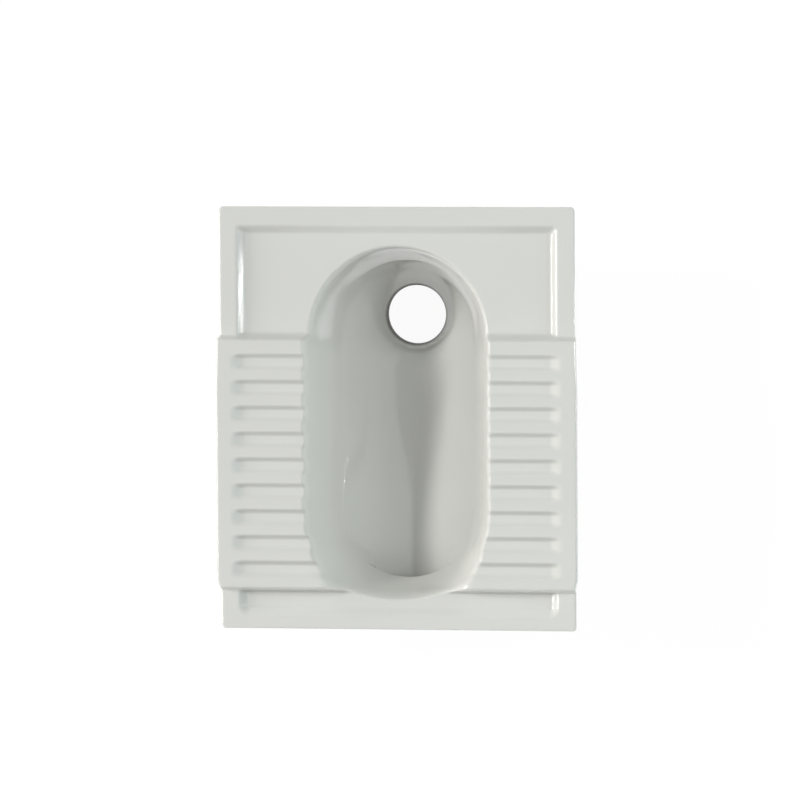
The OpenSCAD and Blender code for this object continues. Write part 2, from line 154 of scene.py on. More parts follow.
class PanFinish(bpy.types.PropertyGroup):
    """Colours and finish of the pieces."""

    glaze: colour("Glaze", (0.715, 0.716, 0.690), "Colour of the glaze")
    body: colour("Bare china", (0.66, 0.645, 0.60), "Colour of the bare china")
    # Painted shade: this dark colour in the drain's neck stands in for the shadow inside the drain.
    ring: colour("Drain ring", (0.13, 0.126, 0.115), "Colour of the ring in the drain's neck")
    gloss: plain("Glaze roughness", 0.075, "Roughness of the glaze", 0.0, 1.0)
    waves: plain("Glaze waves", 0.35, "Strength of the waves in the glaze", 0.0, 2.0)
    rubber: colour("Rubber", (0.035, 0.035, 0.037), "Colour of the rubber")
    steel: colour("Steel", (0.66, 0.67, 0.68), "Colour of the clip")


class PanStage(bpy.types.PropertyGroup):
    """Place and lens of the camera."""

    tilt_x: plain("Tilt right", 9.3, "Degrees the camera stands to the right", -80, 80)
    tilt_y: plain("Tilt back", 4.4, "Degrees the camera stands to the back", -80, 80)
    turn: plain("Turn", -0.35, "Degrees the picture is turned", -180, 180)
    distance: length("Camera distance", 10.0, "Distance from the deck to the camera")
    lens: plain("Lens", 382.3, "Focal length in millimetres", 10, 900)
    aim_x: length("Aim across", 0.0047, "Point of the deck at the picture's middle")
    aim_y: length("Aim along", 0.0227, "Point of the deck at the picture's middle")


# ---------------------------------------------------------------- the glazed surface

FIELDS_PART = -0.05  # the front field lies before this place and the back one behind it

# How softly the parts of the surface run into each other
FIELD_BLEND = 0.005
STEP_TOP_BLEND = 0.0045
STEP_FOOT_BLEND = 0.006
CONE_BLEND = 0.012
FUNNEL_BLEND = 0.005


def soft_min(a, b, blend):
    """The lower of two heights, with a rounded inner corner."""
    near = np.maximum(blend - np.abs(a - b), 0.0) / blend
    return np.minimum(a, b) - near * near * blend / 4


def soft_max(a, b, blend):
    """The higher of two heights, with a rounded corner."""
    return -soft_min(-a, -b, blend)


def ease(t):
    """A smooth step from 0 to 1."""
    t = np.clip(t, 0.0, 1.0)
    return t * t * (3 - 2 * t)


def normals_of(height, x, y):
    """Unit normals of a height rule."""
    e = 1e-5
    dx = (height(x + e, y) - height(x - e, y)) / (2 * e)
    dy = (height(x, y + e) - height(x, y - e)) / (2 * e)
    n = np.stack([-dx, -dy, np.ones_like(dx)], 1)
    return n / np.linalg.norm(n, axis=1)[:, None]


class GlazeSurface:
    """Height of the glazed surface at any place of the pan, from the sizes."""

    def __init__(self, size):
        self.size = size
        # Measured from the crease to the places where the lip's rounding starts
        self.wall_slope = (size.tread_z - 0.008 - size.crease_z) / (size.lip - 0.004 - size.crease)

    def run(self, x, y):
        """Distance from the line through the middle of the bowl."""
        return np.hypot(x, y - np.clip(y, self.size.spine_front, self.size.spine_back))

    def level(self, x, y, tread):
        """The flat parts: border, sunk fields and footrests at the height tread."""
        s = self.size
        back = soft_min(s.field_half - np.abs(x), s.field_back - y, FIELD_BLEND)
        across = np.abs(x) - (s.field_half - s.field_corner)
        along = -y - (s.field_front - s.field_corner)
        outside = np.hypot(np.maximum(across, 0), np.maximum(along, 0))
        front = s.field_corner - outside - np.minimum(np.maximum(across, along), 0)
        depth = np.where(y > FIELDS_PART, back, front)
        base = s.border_z - (s.border_z - s.field_z) * ease(depth / s.field_slope)
        climb = (s.tread_z - s.field_z) / s.step_run
        inside = np.minimum(s.step_back - y, y + s.step_front)
        foot = soft_min(tread, s.field_z + climb * inside, STEP_TOP_BLEND)
        return soft_max(base, foot, STEP_FOOT_BLEND)

    def cone(self, x, y, grow):
        """The slanting cone from the crease's drain end down to the funnel."""
        s = self.size
        low_r, low_z = s.funnel + grow, s.funnel_z - grow
        widen = s.crease + grow - low_r
        shift = s.drain_y - s.spine_back
        v = y - s.drain_y
        a = widen * widen - shift * shift
        b = 2 * low_r * widen - 2 * v * shift
        c = low_r * low_r - x * x - v * v
        t = (np.sqrt(np.maximum(b * b - 4 * a * c, 0)) - b) / (2 * a)
        return low_z + (s.crease_z - low_z) * t

    def bed(self, x, y, grow=0.0):
        """The trough and the cone round the drain, grown outwards by grow."""
        s = self.size
        start = s.spine_front - s.crease
        fall = np.clip((y - start) / (s.spine_back - start), 0, 1)
        valley = s.valley_front + (s.valley_back - s.valley_front) * fall - grow
        # The trough's section opens from nearly a V at the flush end to a round one
        power = 1.2 + 1.4 * ease((y + 0.125) / 0.17)
        beyond, valley_round = np.maximum(y - s.spine_back, 0), 0.002
        share = np.sqrt(x * x + beyond * beyond + valley_round ** 2) / (s.crease + grow)
        trough = valley + (s.crease_z - valley) * share ** power
        return soft_min(trough, self.cone(x, y, grow), CONE_BLEND)

    def wall(self, x, y):
        """The rim wall, which leans out more beside the footrests' front corners."""
        s = self.size
        flare = ease((-y - s.flare_start) / s.flare_run) * ease((y + s.step_front + 0.003) / 0.01)
        slope = self.wall_slope / (1 + s.flare * flare)
        return s.crease_z + slope * (self.run(x, y) - s.crease)

    def coved(self, x, y, start):
        """The wall and bed with the cove between them, or the height start at the slot."""
        s = self.size
        side = ease((np.abs(x) - s.slot_half + 0.001) / 0.009)
        closed = np.where(y < s.spine_front - 0.03, side, 1.0)
        return start + closed * (soft_max(self.bed(x, y), self.wall(x, y), s.cove) - start)

    def inside(self, x, y):
        """The lower part of the bowl, with the funnel."""
        s = self.size
        down = np.hypot(x, y - s.drain_y) - s.neck
        slope = (s.funnel_z - s.neck_z) / (s.funnel - s.neck)
        low = self.coved(x, y, self.bed(x, y))
        return soft_min(low, s.neck_z + slope * down, FUNNEL_BLEND)

    def upper(self, x, y, tread):
        """The rim wall, the lip and the deck. The lip is rounder beside the front step."""
        s = self.size
        beside_step = ease(1 - np.abs(y + s.step_front - 0.002) / 0.012)
        blend = s.lip_round * (1 + 1.6 * beside_step)
        return soft_min(self.coved(x, y, self.wall(x, y)), self.level(x, y, tread), blend)


# ---------------------------------------------------------------- mesh helpers


def ring_edges(*rings):
    """The edges round each closed row of points."""
    return [edge for ring in rings for edge in zip(ring.tolist(), np.roll(ring, -1).tolist())]


class Shell:
    """Points and faces of one piece while it is made."""

    def __init__(self):
        self.points = np.zeros((0, 3))
        self.faces = []

    def put(self, x, y, z):
        """Adds points and returns their numbers, in the shape of the given arrays."""
        x, y, z = np.broadcast_arrays(x, y, z)
        first = len(self.points)
        self.points = np.concatenate([self.points, np.stack([x.ravel(), y.ravel(), z.ravel()], 1)])
        return np.arange(first, first + x.size).reshape(x.shape)

    def chain(self, rows):
        """Quads from each closed row of points to the next. Returns the last row."""
        for one, other in zip(rows, rows[1:]):
            one, other = np.append(one, one[0]), np.append(other, other[0])
            self.faces += np.stack([one[:-1], one[1:], other[1:], other[:-1]], 1).tolist()
        return rows[-1]

    def close(self, *rows):
        """A face over each closed row of points."""
        self.faces += [row.tolist() for row in rows]

    def tube(self, rows):
        """A solid along the rows, closed at both ends."""
        self.chain(rows)
        self.close(rows[0], rows[-1])

    def cells(self, grid, keep):
        """Quads on the kept cells of a grid of points."""
        quads = np.stack([grid[:-1, :-1], grid[:-1, 1:], grid[1:, 1:], grid[1:, :-1]], -1)
        self.faces += quads[keep].tolist()

    def fill(self, numbers, edges, plan=None):
        """Triangles between the points, over the area that the edges bound."""
        plan = self.points[:, :2] if plan is None else plan
        place = {int(n): i for i, n in enumerate(numbers)}
        flat = [Vector(plan[n]) for n in numbers]
        found = delaunay_2d_cdt(flat, [(place[a], place[b]) for a, b in edges], [], 0, 1e-9)
        if len(found[0]) != len(flat):
            raise RuntimeError("the outlines of a fill cross")
        tris = np.array(found[2])
        mx, my = np.array([v[:] for v in found[0]])[tris].mean(1).T
        inside = np.zeros(len(tris), bool)
        for a, b in edges:
            (ax, ay), (bx, by) = plan[a], plan[b]
            if ay != by:
                crosses = (ay > my) != (by > my)
                inside ^= crosses & (mx < ax + (my - ay) * (bx - ax) / (by - ay))
        self.faces += np.asarray(numbers)[tris[inside]].tolist()

    def build(self, name, merge=1e-6, values=None):
        """Makes the object, with doubles merged and faces outwards."""
        mesh = bpy.data.meshes.new(name)
        mesh.from_pydata(self.points.tolist(), [], self.faces)
        for key, numbers in (values or {}).items():
            mesh.attributes.new(key, "FLOAT", "POINT").data.foreach_set("value", numbers)
        bm = bmesh.new()
        bm.from_mesh(mesh)
        bmesh.ops.remove_doubles(bm, verts=bm.verts, dist=merge)
        loose = [v for v in bm.verts if not v.link_faces]
        bmesh.ops.delete(bm, geom=loose, context="VERTS")
        bmesh.ops.recalc_face_normals(bm, faces=bm.faces)
        bm.to_mesh(mesh)
        bm.free()
        return place_object(name, mesh)


def place_object(name, data):
    """Links an object with the given data to the scene."""
    thing = bpy.data.objects.new(name, data)
    bpy.context.scene.collection.objects.link(thing)
    return thing


def bake_modifiers(thing):
    """Makes the modifiers' result the object's own mesh and removes them."""
    bpy.context.view_layer.update()
    seen = bpy.context.evaluated_depsgraph_get()
    made = bpy.data.meshes.new_from_object(thing.evaluated_get(seen))
    old = thing.data
    thing.modifiers.clear()
    thing.data = made
    name = old.name
    bpy.data.meshes.remove(old)
    made.name = name


def combine(thing, tools, operation):
    """Joins the tools to the object or cuts them out of it, and removes them."""
    for tool in tools:
        modifier = thing.modifiers.new("combine", "BOOLEAN")
        modifier.operation = operation
        modifier.solver = "MANIFOLD"
        modifier.object = tool
    bake_modifiers(thing)
    for tool in tools:
        mesh = tool.data
        bpy.data.objects.remove(tool)
        bpy.data.meshes.remove(mesh)


def read(items, key, width=3, kind=np.float32):
    """One property of all items, as an array."""
    out = np.empty(len(items) * width, kind)
    items.foreach_get(key, out)
    return out.reshape(-1, width) if width > 1 else out


def shade(thing, angle, rules=()):
    """Smooth shading with creases at sharp edges, and exact normals where a rule holds.

    A rule is (height, where, gap): the surface's height, a test of the place, and how
    far a point may be from that height. Faces that lean away from the rule keep theirs.
    """
    mesh, least_match = thing.data, 0.75
    mesh.shade_smooth()
    mesh.set_sharp_from_angle(angle=math.radians(angle))
    if not rules:
        return
    normals = read(mesh.corner_normals, "vector")
    corner = read(mesh.loops, "vertex_index", 1, np.int32)
    sizes = read(mesh.polygons, "loop_total", 1, np.int32)
    of_face = np.repeat(read(mesh.polygons, "normal"), sizes, axis=0)
    x, y, z = read(mesh.vertices, "co").astype(float)[corner].T
    for height, where, gap in rules:
        exact = normals_of(height, x, y)
        fits = where(x, y) & (np.abs(height(x, y) - z) < gap)
        fits &= (exact * of_face).sum(1) > least_match
        normals[fits] = exact[fits]
    mesh.normals_split_custom_set(normals.tolist())


def mark_points(thing, key, rule):
    """Gives each point a number under the key, from its place and normal."""
    mesh = thing.data
    value = rule(read(mesh.vertices, "co"), read(mesh.vertices, "normal")).astype(np.float32)
    mesh.attributes.new(key, "FLOAT", "POINT").data.foreach_set("value", value)


def spin(name, profile, axis, centre, steps=96, angle=30):
    """A closed ring or disc turned from (radius, along) pairs about an axis."""
    turn = np.linspace(0, 2 * math.pi, steps, endpoint=False)
    shell = Shell()
    rows = []
    for radius, along in profile:
        a, b, c = radius * np.cos(turn), radius * np.sin(turn), np.full(steps, along)
        x, y, z = {"Z": (a, b, c), "Y": (a, c, b), "X": (c, a, b)}[axis]
        rows.append(shell.put(x + centre[0], y + centre[1], z + centre[2]))
    shell.chain(rows + rows[:1])
    thing = shell.build(name)
    shade(thing, angle)
    return thing


def rounded(profile, radius, steps=4):
    """The closed outline with each corner rounded by at most the radius."""
    out = []
    points = [Vector(p) for p in profile]
    for i, p in enumerate(points):
        to_last, to_next = points[i - 1] - p, points[(i + 1) % len(points)] - p
        turn = to_last.angle(to_next)
        if min(to_last.length, to_next.length) < 1e-7 or turn > math.radians(172):
            out.append(p)
            continue
        cut = min(radius / math.tan(turn / 2), to_last.length * 0.45, to_next.length * 0.45)
        a, b = p + to_last.normalized() * cut, p + to_next.normalized() * cut
        for k in range(steps + 1):
            t = k / steps
            out.append(a * (1 - t) ** 2 + p * 2 * t * (1 - t) + b * t ** 2)
    return [tuple(p) for p in out]


def spaced(*stretches):
    """Places along a line: each stretch is (end, step), starting at the first number."""
    start, out = stretches[0], [stretches[0]]
    for end, step in stretches[1:]:
        count = max(1, round(abs(end - start) / step))
        out += [start + (end - start) * (i + 1) / count for i in range(count)]
        start = end
    return np.array(out)


def past(start, *pairs):
    """Points of a profile: each pair is a radius and a distance past the start."""
    return [(radius, start + step) for radius, step in pairs]


# ---------------------------------------------------------------- node trees


class Wire:
    """A socket of a node tree. Arithmetic on it adds Math nodes."""

    def __init__(self, tree, socket=None):
        self.tree = tree
        self.socket = socket

    def feed(self, node, inputs):
        """Sets or links the sockets of a node."""
        for key, value in inputs.items():
            if isinstance(value, Wire):
                self.tree.links.new(value.socket, node.inputs[key])
            else:
                node.inputs[key].default_value = value

    def node(self, kind, inputs=None, output=0, **settings):
        """Adds a node: its settings first, then the values or links of its sockets."""
        made = self.tree.nodes.new(kind)
        for key, value in settings.items():
            setattr(made, key, value)
        self.feed(made, inputs or {})
        return Wire(self.tree, made.outputs[output] if made.outputs else None)

    def math(self, operation, *values):
        """A Math node on values and sockets."""
        return self.node("ShaderNodeMath", dict(enumerate(values)), operation=operation)

    def __abs__(self):
        return self.math("ABSOLUTE", self)

    def ease(self):
        """A smooth step from 0 to 1."""
        t = self.math("MINIMUM", self.math("MAXIMUM", self, 0.0), 1.0)
        return t * t * (3.0 - 2.0 * t)


def overload(name, operation):
    """Gives Wire an operator and its reflected form."""
    setattr(Wire, f"__{name}__", lambda self, other: self.math(operation, self, other))
    setattr(Wire, f"__r{name}__", lambda self, other: self.math(operation, other, self))


overload("add", "ADD")
overload("sub", "SUBTRACT")
overload("mul", "MULTIPLY")
overload("truediv", "DIVIDE")


def empty_tree(owner):
    """Clears the shader tree of a material or world and returns a wire in it."""
    owner.use_nodes = True
    owner.node_tree.nodes.clear()
    return Wire(owner.node_tree)


def new_material(name):
    """A material without nodes, a wire in it and the wire of the place on the piece."""
    material = bpy.data.materials.new(name)
    wire = empty_tree(material)
    return material, wire, wire.node("ShaderNodeTexCoord", output="Object")


def end_material(wire, inputs):
    """Ends a material in a Principled shader with the given inputs."""
    shader = wire.node("ShaderNodeBsdfPrincipled", inputs)
    wire.node("ShaderNodeOutputMaterial", {"Surface": shader})


def noise(wire, place, scale, detail=2.0, roughness=0.5):
    """Smooth noise from 0 to 1."""
    return wire.node("ShaderNodeTexNoise", {
        "Vector": place, "Scale": scale, "Detail": detail, "Roughness": roughness})


def tint(wire, share, one, other):
    """A colour between two, by a share from 0 to 1. A Mix node's colours are 6, 7 and 2."""
    return wire.node("ShaderNodeMix", {"Factor": share, 6: one, 7: other}, 2, data_type="RGBA")


def rgba(c, scale=1.0):
    """A colour of the finish, lighter or darker, for a socket."""
    return (c[0] * scale, c[1] * scale, c[2] * scale, 1.0)


def bump(wire, strength, height):
    """Fine relief, from a height in metres."""
    return wire.node("ShaderNodeBump", {
        "Strength": strength, "Distance": 1.0, "Height": height})


def mark(wire, key):
    """The number that mark_points gave the surface under the key."""
    return wire.node("ShaderNodeAttribute", output="Fac", attribute_name=key)


def china_material(name, finish):
    """Glossy glaze with faint waves and mottling, painted shade in the drain's neck, and bare matt
    china where glazed is 0.
    """
    material, wire, place = new_material(name)
    glazed = mark(wire, "glazed")
    mottle = noise(wire, place, 11.0, 3.0)
    speck = noise(wire, place, 260.0)
    grain = noise(wire, place, 900.0, 3.0, 0.6)
    glaze = tint(wire, mottle, rgba(finish.glaze, 0.985), rgba(finish.glaze, 1.015))
    # Painted shade: the glaze turns to the ring colour in the drain's neck, in place of the shadow
    # there.
    glaze = tint(wire, mark(wire, "painted_neck_shade"), glaze, rgba(finish.ring))
    bare = tint(wire, grain, rgba(finish.body, 0.93), rgba(finish.body, 1.04))
    rough = finish.gloss + 0.02 * mottle + 0.012 * speck
    bare_rough = 0.72
    waves = noise(wire, place, 34.0, 1.0) * 0.0005 + noise(wire, place, 120.0, 1.0) * 0.00006
    pitted = grain * 0.00012
    end_material(wire, {
        "Base Color": tint(wire, glazed, bare, glaze),
        "Roughness": bare_rough + glazed * (rough - bare_rough),
        "Normal": bump(wire, finish.waves, pitted + glazed * (waves - pitted))})
    return material


def rubber_material(name, finish):
    """Matt moulded rubber with a faint bloom."""
    material, wire, place = new_material(name)
    bloom = noise(wire, place, 60.0, 4.0)
    end_material(wire, {
        "Base Color": tint(wire, bloom, rgba(finish.rubber, 0.8), rgba(finish.rubber, 1.5)),
        "Roughness": 0.48 + 0.22 * bloom,
        "Normal": bump(wire, 0.5, noise(wire, place, 1400.0) * 0.0001)})
    return material


def steel_material(name, finish):
    """Rolled steel with fine streaks, along the screw or round the band."""
    material, wire, place = new_material(name)
    stretch = (40, 1500, 40) if name == "band_steel" else (700, 60, 60)
    drawn = wire.node("ShaderNodeMapping", {"Vector": place, "Scale": stretch})
    streak = noise(wire, drawn, 1.0, 4.0, 0.6)
    cloud = noise(wire, place, 90.0)
    end_material(wire, {
        "Base Color": tint(wire, cloud, rgba(finish.steel, 0.88), rgba(finish.steel, 1.06)),
        "Metallic": 1.0,
        "Roughness": 0.2 + 0.16 * streak,
        "Normal": bump(wire, 0.4, streak * 0.00006)})
    return material


def shared_material(name, finish):
    """The one material of that name, made when a piece first asks for it."""
    makers = {"china_glaze": china_material, "moulded_rubber": rubber_material}
    return bpy.data.materials.get(name) or makers.get(name, steel_material)(name, finish)


def finish_piece(thing, slot, material, *nodes):
    """Gives a piece its material and its body, and hides the CAD nodes it stands for. The slot is
    not used.
    """
    thing.data.materials.clear()
    thing.data.materials.append(material)
    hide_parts(*nodes)
    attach(thing, "root")


def new_tree(name, *inputs):
    """A geometry tree: a wire in it and the wires of its inputs, which are floats if bare."""
    tree = bpy.data.node_groups.new(name, "GeometryNodeTree")
    for item in inputs + (("Material", "Material"),):
        key, kind = (item, "Float") if isinstance(item, str) else item
        tree.interface.new_socket(key, in_out="INPUT", socket_type="NodeSocket" + kind)
    tree.interface.new_socket("Geometry", in_out="OUTPUT", socket_type="NodeSocketGeometry")
    wire = Wire(tree)
    given = wire.node("NodeGroupInput").socket.node
    return wire, {s.name: Wire(tree, s) for s in given.outputs if s.name}


def end_tree(wire, geometry, material):
    """Ends a tree in Realize Instances and Set Material."""
    real = wire.node("GeometryNodeRealizeInstances", {0: geometry})
    painted = wire.node("GeometryNodeSetMaterial", {"Geometry": real, "Material": material})
    wire.node("NodeGroupOutput", {"Geometry": painted})
    return wire.tree


def run_tree(thing, tree, values):
    """Runs a tree on the object, with inputs set by their identifiers, and bakes it."""
    modifier = thing.modifiers.new(tree.name, "NODES")
    modifier.node_group = tree
    for item in tree.interface.items_tree:
        if item.in_out == "INPUT" and item.name in values:
            modifier[item.identifier] = values[item.name]
    bake_modifiers(thing)


def groove_tree():
    """Node tree that lowers the footrests in a row of grooves, where groove_share allows."""
    wire, want = new_tree("Footrest grooves", ("Geometry", "Geometry"), "First", "Pitch", "Depth",
                          "Top width", "Floor width", "Outer end", "End run", "Last number")
    place = wire.node("GeometryNodeInputPosition")
    x, y = (wire.node("ShaderNodeSeparateXYZ", {0: place}, axis) for axis in "XY")
    number = wire.math("ROUND", (want["First"] - y) / want["Pitch"])
    number = wire.math("MINIMUM", wire.math("MAXIMUM", number, 0.0), want["Last number"])
    off = abs(y - (want["First"] - number * want["Pitch"]))
    half = want["Top width"] / 2.0
    across = ((half - off) / (half - want["Floor width"] / 2.0)).ease()
    along = ((want["Outer end"] - abs(x)) / want["End run"]).ease()
    share = wire.node("GeometryNodeInputNamedAttribute", {"Name": "groove_share"},
                      data_type="FLOAT")
    drop = want["Depth"] * across * along * share
    shift = wire.node("ShaderNodeCombineXYZ", {"Z": 0.0 - drop})
    moved = wire.node("GeometryNodeSetPosition", {
        "Geometry": want["Geometry"], "Offset": shift})
    return end_tree(wire, moved, want["Material"])


def band_tree():
    """Node tree of a clip's band: a swept strip with a row of slanted slots cut in it."""
    wire, want = new_tree("Clip band", "Radius", "Thickness", "Width", "Slot length",
                          "Slot width", "Slant", "Slot arc", ("Slots", "Int"))
    loop = wire.node("GeometryNodeCurvePrimitiveCircle", {
        "Resolution": 144, "Radius": want["Radius"]}, mode="RADIUS")
    section = wire.node("GeometryNodeCurvePrimitiveQuadrilateral", {
        "Width": want["Thickness"], "Height": want["Width"]}, mode="RECTANGLE")
    section = wire.node("GeometryNodeFilletCurve", {
        "Curve": section, "Count": 3, "Radius": want["Thickness"] * 0.35}, mode="POLY")
    strip = wire.node("GeometryNodeCurveToMesh", {"Curve": loop, "Profile Curve": section})
    size = wire.node("ShaderNodeCombineXYZ", {
        "X": want["Thickness"] * 6.0, "Y": want["Slot width"], "Z": want["Slot length"]})
    cutter = wire.node("GeometryNodeMeshCube", {"Size": size})
    slant = wire.node("ShaderNodeCombineXYZ", {"X": want["Slant"]})
    cutter = wire.node("GeometryNodeTransform", {"Geometry": cutter, "Rotation": slant})
    row = wire.node("GeometryNodeMeshLine", {"Count": want["Slots"], "Offset": (0.0, 0.0, 0.0)})
    share = wire.node("GeometryNodeInputIndex") / (want["Slots"] - 1.0) - 0.5
    angle = share * want["Slot arc"]
    spot = wire.node("ShaderNodeCombineXYZ", {
        "X": want["Radius"] * wire.math("COSINE", angle),
        "Y": want["Radius"] * wire.math("SINE", angle)})
    row = wire.node("GeometryNodeSetPosition", {"Geometry": row, "Position": spot})
    facing = wire.node("ShaderNodeCombineXYZ", {"Z": angle})
    cutters = wire.node("GeometryNodeInstanceOnPoints", {
        "Points": row, "Instance": cutter, "Rotation": facing})
    cutters = wire.node("GeometryNodeRealizeInstances", {0: cutters})
    cut = wire.node("GeometryNodeMeshBoolean", {"Mesh 1": strip, "Mesh 2": cutters},
                    operation="DIFFERENCE", solver="EXACT")
    return end_tree(wire, cut, want["Material"])


def thread_tree():
    """Node tree of a screw's thread: a small ridge swept along a spiral."""
    wire, want = new_tree("Screw thread", ("Geometry", "Geometry"), "Radius", "Length", "Turns",
                          "Ridge", ("Start", "Vector"))
    spiral = wire.node("GeometryNodeCurveSpiral", {
        "Resolution": 20, "Rotations": want["Turns"], "Start Radius": want["Radius"],
        "End Radius": want["Radius"], "Height": want["Length"]})
    ridge = wire.node("GeometryNodeCurvePrimitiveCircle", {
        "Resolution": 6, "Radius": want["Ridge"]}, mode="RADIUS")
    thread = wire.node("GeometryNodeCurveToMesh", {
        "Curve": spiral, "Profile Curve": ridge, "Fill Caps": True})
    thread = wire.node("GeometryNodeTransform", {
        "Geometry": thread, "Translation": want["Start"], "Rotation": (0.0, math.pi / 2, 0.0)})
    joined = wire.node("GeometryNodeJoinGeometry", {0: want["Geometry"]})
    wire.feed(joined.socket.node, {0: thread})
    return end_tree(wire, joined, want["Material"])


# ---------------------------------------------------------------- the deck


def stations(size, fine=None):
    """Points of the bowl's outline at radius 1 and 0: direction and centre of each.

    With fine, the points stand that many radians apart beside the footrests' front corners.
    """
    straight, arc = 132, 192
    half_turn = np.linspace(0, math.pi, arc, endpoint=False)
    front_turn = half_turn
    if fine:
        wide, start, end = math.pi / arc, 0.66, 1.22
        front_turn = spaced(0.0, (start, wide), (end, fine), (math.pi - end, wide),
                            (math.pi - start, fine), (math.pi, wide))[:-1]
    sides = np.linspace(0, 1, straight, endpoint=False)
    back, front = size.spine_back, size.spine_front
    way = np.concatenate([half_turn, np.full(straight, math.pi), front_turn + math.pi,
                          np.zeros(straight)])
    centre = np.concatenate([np.full(arc, back), back + (front - back) * sides,
                             np.full(len(front_turn), front), front + (back - front) * sides])
    return np.cos(way), np.sin(way), centre


def deck_lines(size):
    """Places of the grid's lines across and along the deck, denser at slopes and edges."""
    rim = size.edge_round * (1 - np.sin(np.radians([90, 72, 54, 36, 18, 0])))
    half = spaced(0.0, (0.121, 0.0024), (0.131, 0.002), (0.179, 0.0041), (0.200, 0.001),
                  (size.half_width - size.corner, 0.002), (size.half_width - rim[-1], 0.0012))
    half = np.concatenate([half, size.half_width - rim[-2::-1]])
    near, far = -size.half_length + rim, size.half_length - rim[::-1]
    rows = spaced(near[-1], (-size.half_length + size.corner, 0.0012), (-0.238, 0.0022),
                  (-0.2225, 0.0009), (-0.209, 0.0022), (-0.198, 0.0005), (0.090, 0.00125),
                  (0.102, 0.0005), (0.110, 0.002), (0.2155, 0.0038), (0.231, 0.0009),
                  (size.half_length - size.corner, 0.0024), (far[0], 0.0012))
    return np.concatenate([-half[:0:-1], half]), np.concatenate([near[:-1], rows, far[1:]])


def deck_plan(size, x, y):
    """Bends the grid to the deck's outline: the bent places and the drop at the edges."""
    in_x, in_y = size.half_width - np.abs(x), size.half_length - np.abs(y)
    u, v = 1 - in_x / size.corner, 1 - in_y / size.corner
    at_corner = (u > 0) & (v > 0)
    most = np.maximum(np.maximum(u, v), 1e-9)
    angle = np.where(u >= v, v / most, 2 - u / most) * math.pi / 4
    inset = np.where(at_corner, size.corner * (1 - most), np.minimum(in_x, in_y))
    arc_x = size.half_width - size.corner + size.corner * most * np.cos(angle)
    arc_y = size.half_length - size.corner + size.corner * most * np.sin(angle)
    bend_x = np.where(at_corner, np.sign(x) * arc_x, x)
    bend_y = np.where(at_corner, np.sign(y) * arc_y, y)
    r = size.edge_round
    drop = r - np.sqrt(np.maximum(r * r - np.maximum(r - inset, 0) ** 2, 0))
    # The footrests' sides stand out past the border, in two steps at the back
    out = size.overhang * (0.57 * ease((size.step_back - y) / 0.006)
                           + 0.43 * ease((0.09 - y) / 0.06)) * ease((y + 0.204) / 0.017)
    start = 0.197
    side = np.clip((np.abs(x) - start) / (size.half_width - start), 0, 1)
    return bend_x + np.sign(x) * out * side, bend_y, drop


def deck_top(size, form, shell, cos, sin, centre):
    """The glazed top: rings round the bowl, a grid over the deck and the band between.

    Returns the rows at the crease and the border, and how much of a groove each point takes.
    """
    shares = []

    def put_top(x, y, at, drop=0.0):
        """Points of the top, each with the share of a groove's depth that it takes."""
        full = form.upper(x, y, size.tread_z)
        cut = form.upper(x, y, size.tread_z - size.groove_depth)
        shares.append(((full - cut) / size.groove_depth).ravel())
        return shell.put(*at, full - drop)

    # Rings from the crease to just past the lip
    radii = spaced(size.crease, (0.0875, 0.0005), (0.092, 0.0009), (0.101, 0.0022),
                   (0.1165, 0.0008), (0.120, 0.0012))
    x, y = radii[:, None] * cos, radii[:, None] * sin + centre
    rings = put_top(x, y, (x, y))
    shell.cells(np.concatenate([rings, rings[:, :1]], 1), np.ones((len(radii) - 1, len(cos)), bool))

    # The rest of the deck on lines along and across it, past a narrow band
    band = 0.0012
    x, y = np.meshgrid(*deck_lines(size))
    bend_x, bend_y, drop = deck_plan(size, x, y)
    grid = put_top(x, y, (bend_x, bend_y), drop)
    clear = form.run(x, y) > radii[-1] + band
    keep = clear[:-1, :-1] & clear[:-1, 1:] & clear[1:, 1:] & clear[1:, :-1]
    shell.cells(grid, keep)

    # The band, filled from both sides' points
    across = np.argwhere(keep[:-1] != keep[1:])
    down = np.argwhere(keep[:, :-1] != keep[:, 1:])
    edges = [(int(grid[i + 1, j]), int(grid[i + 1, j + 1])) for i, j in across]
    edges += [(int(grid[i, j + 1]), int(grid[i + 1, j + 1])) for i, j in down]
    plan = shell.points[:, :2].copy()
    plan[grid.ravel()] = np.stack([x.ravel(), y.ravel()], 1)
    numbers = sorted({n for e in edges for n in e} | set(rings[-1].tolist()))
    shell.fill(numbers, edges + ring_edges(rings[-1]), plan)

    border = np.concatenate([grid[0, :-1], grid[:-1, -1], grid[-1, :0:-1], grid[:0:-1, 0]])
    return rings[0], border, np.concatenate(shares)


def deck_skirt(size, shell, border):
    """The skirt, down to its lower edge and up again. Returns its row at the ceiling."""
    bx, by, bz = shell.points[border].T
    low, top = size.skirt_z, size.ceiling_z
    levels = [(bz + (low + 0.0025 - bz) * share, 0.0)
              for share in (0.06, 0.14, 0.28, 0.45, 0.62, 0.8, 0.92, 1.0)]
    levels += [(low + z, inward) for z, inward in (
        (0.0012, 0.0004), (0.0004, 0.0012), (0.0, 0.0025), (0.0, 0.0085), (0.0004, 0.0098),
        (0.0012, 0.0106), (0.0025, 0.011))]
    levels += [(top + z, inward) for z, inward in (
        (-0.013, 0.011), (-0.005, 0.011), (-0.0025, 0.0117), (-0.0008, 0.0134), (0.0, 0.016))]
    rows = [border]
    for z, inward in levels:
        below = np.maximum(size.border_z - z, 0) / (size.border_z - size.skirt_z)
        lean = inward + below * size.skirt_lean
        rows.append(shell.put(bx * (1 - lean / size.half_width),
                              by * (1 - lean / size.half_length), z))
    return shell.chain(rows)


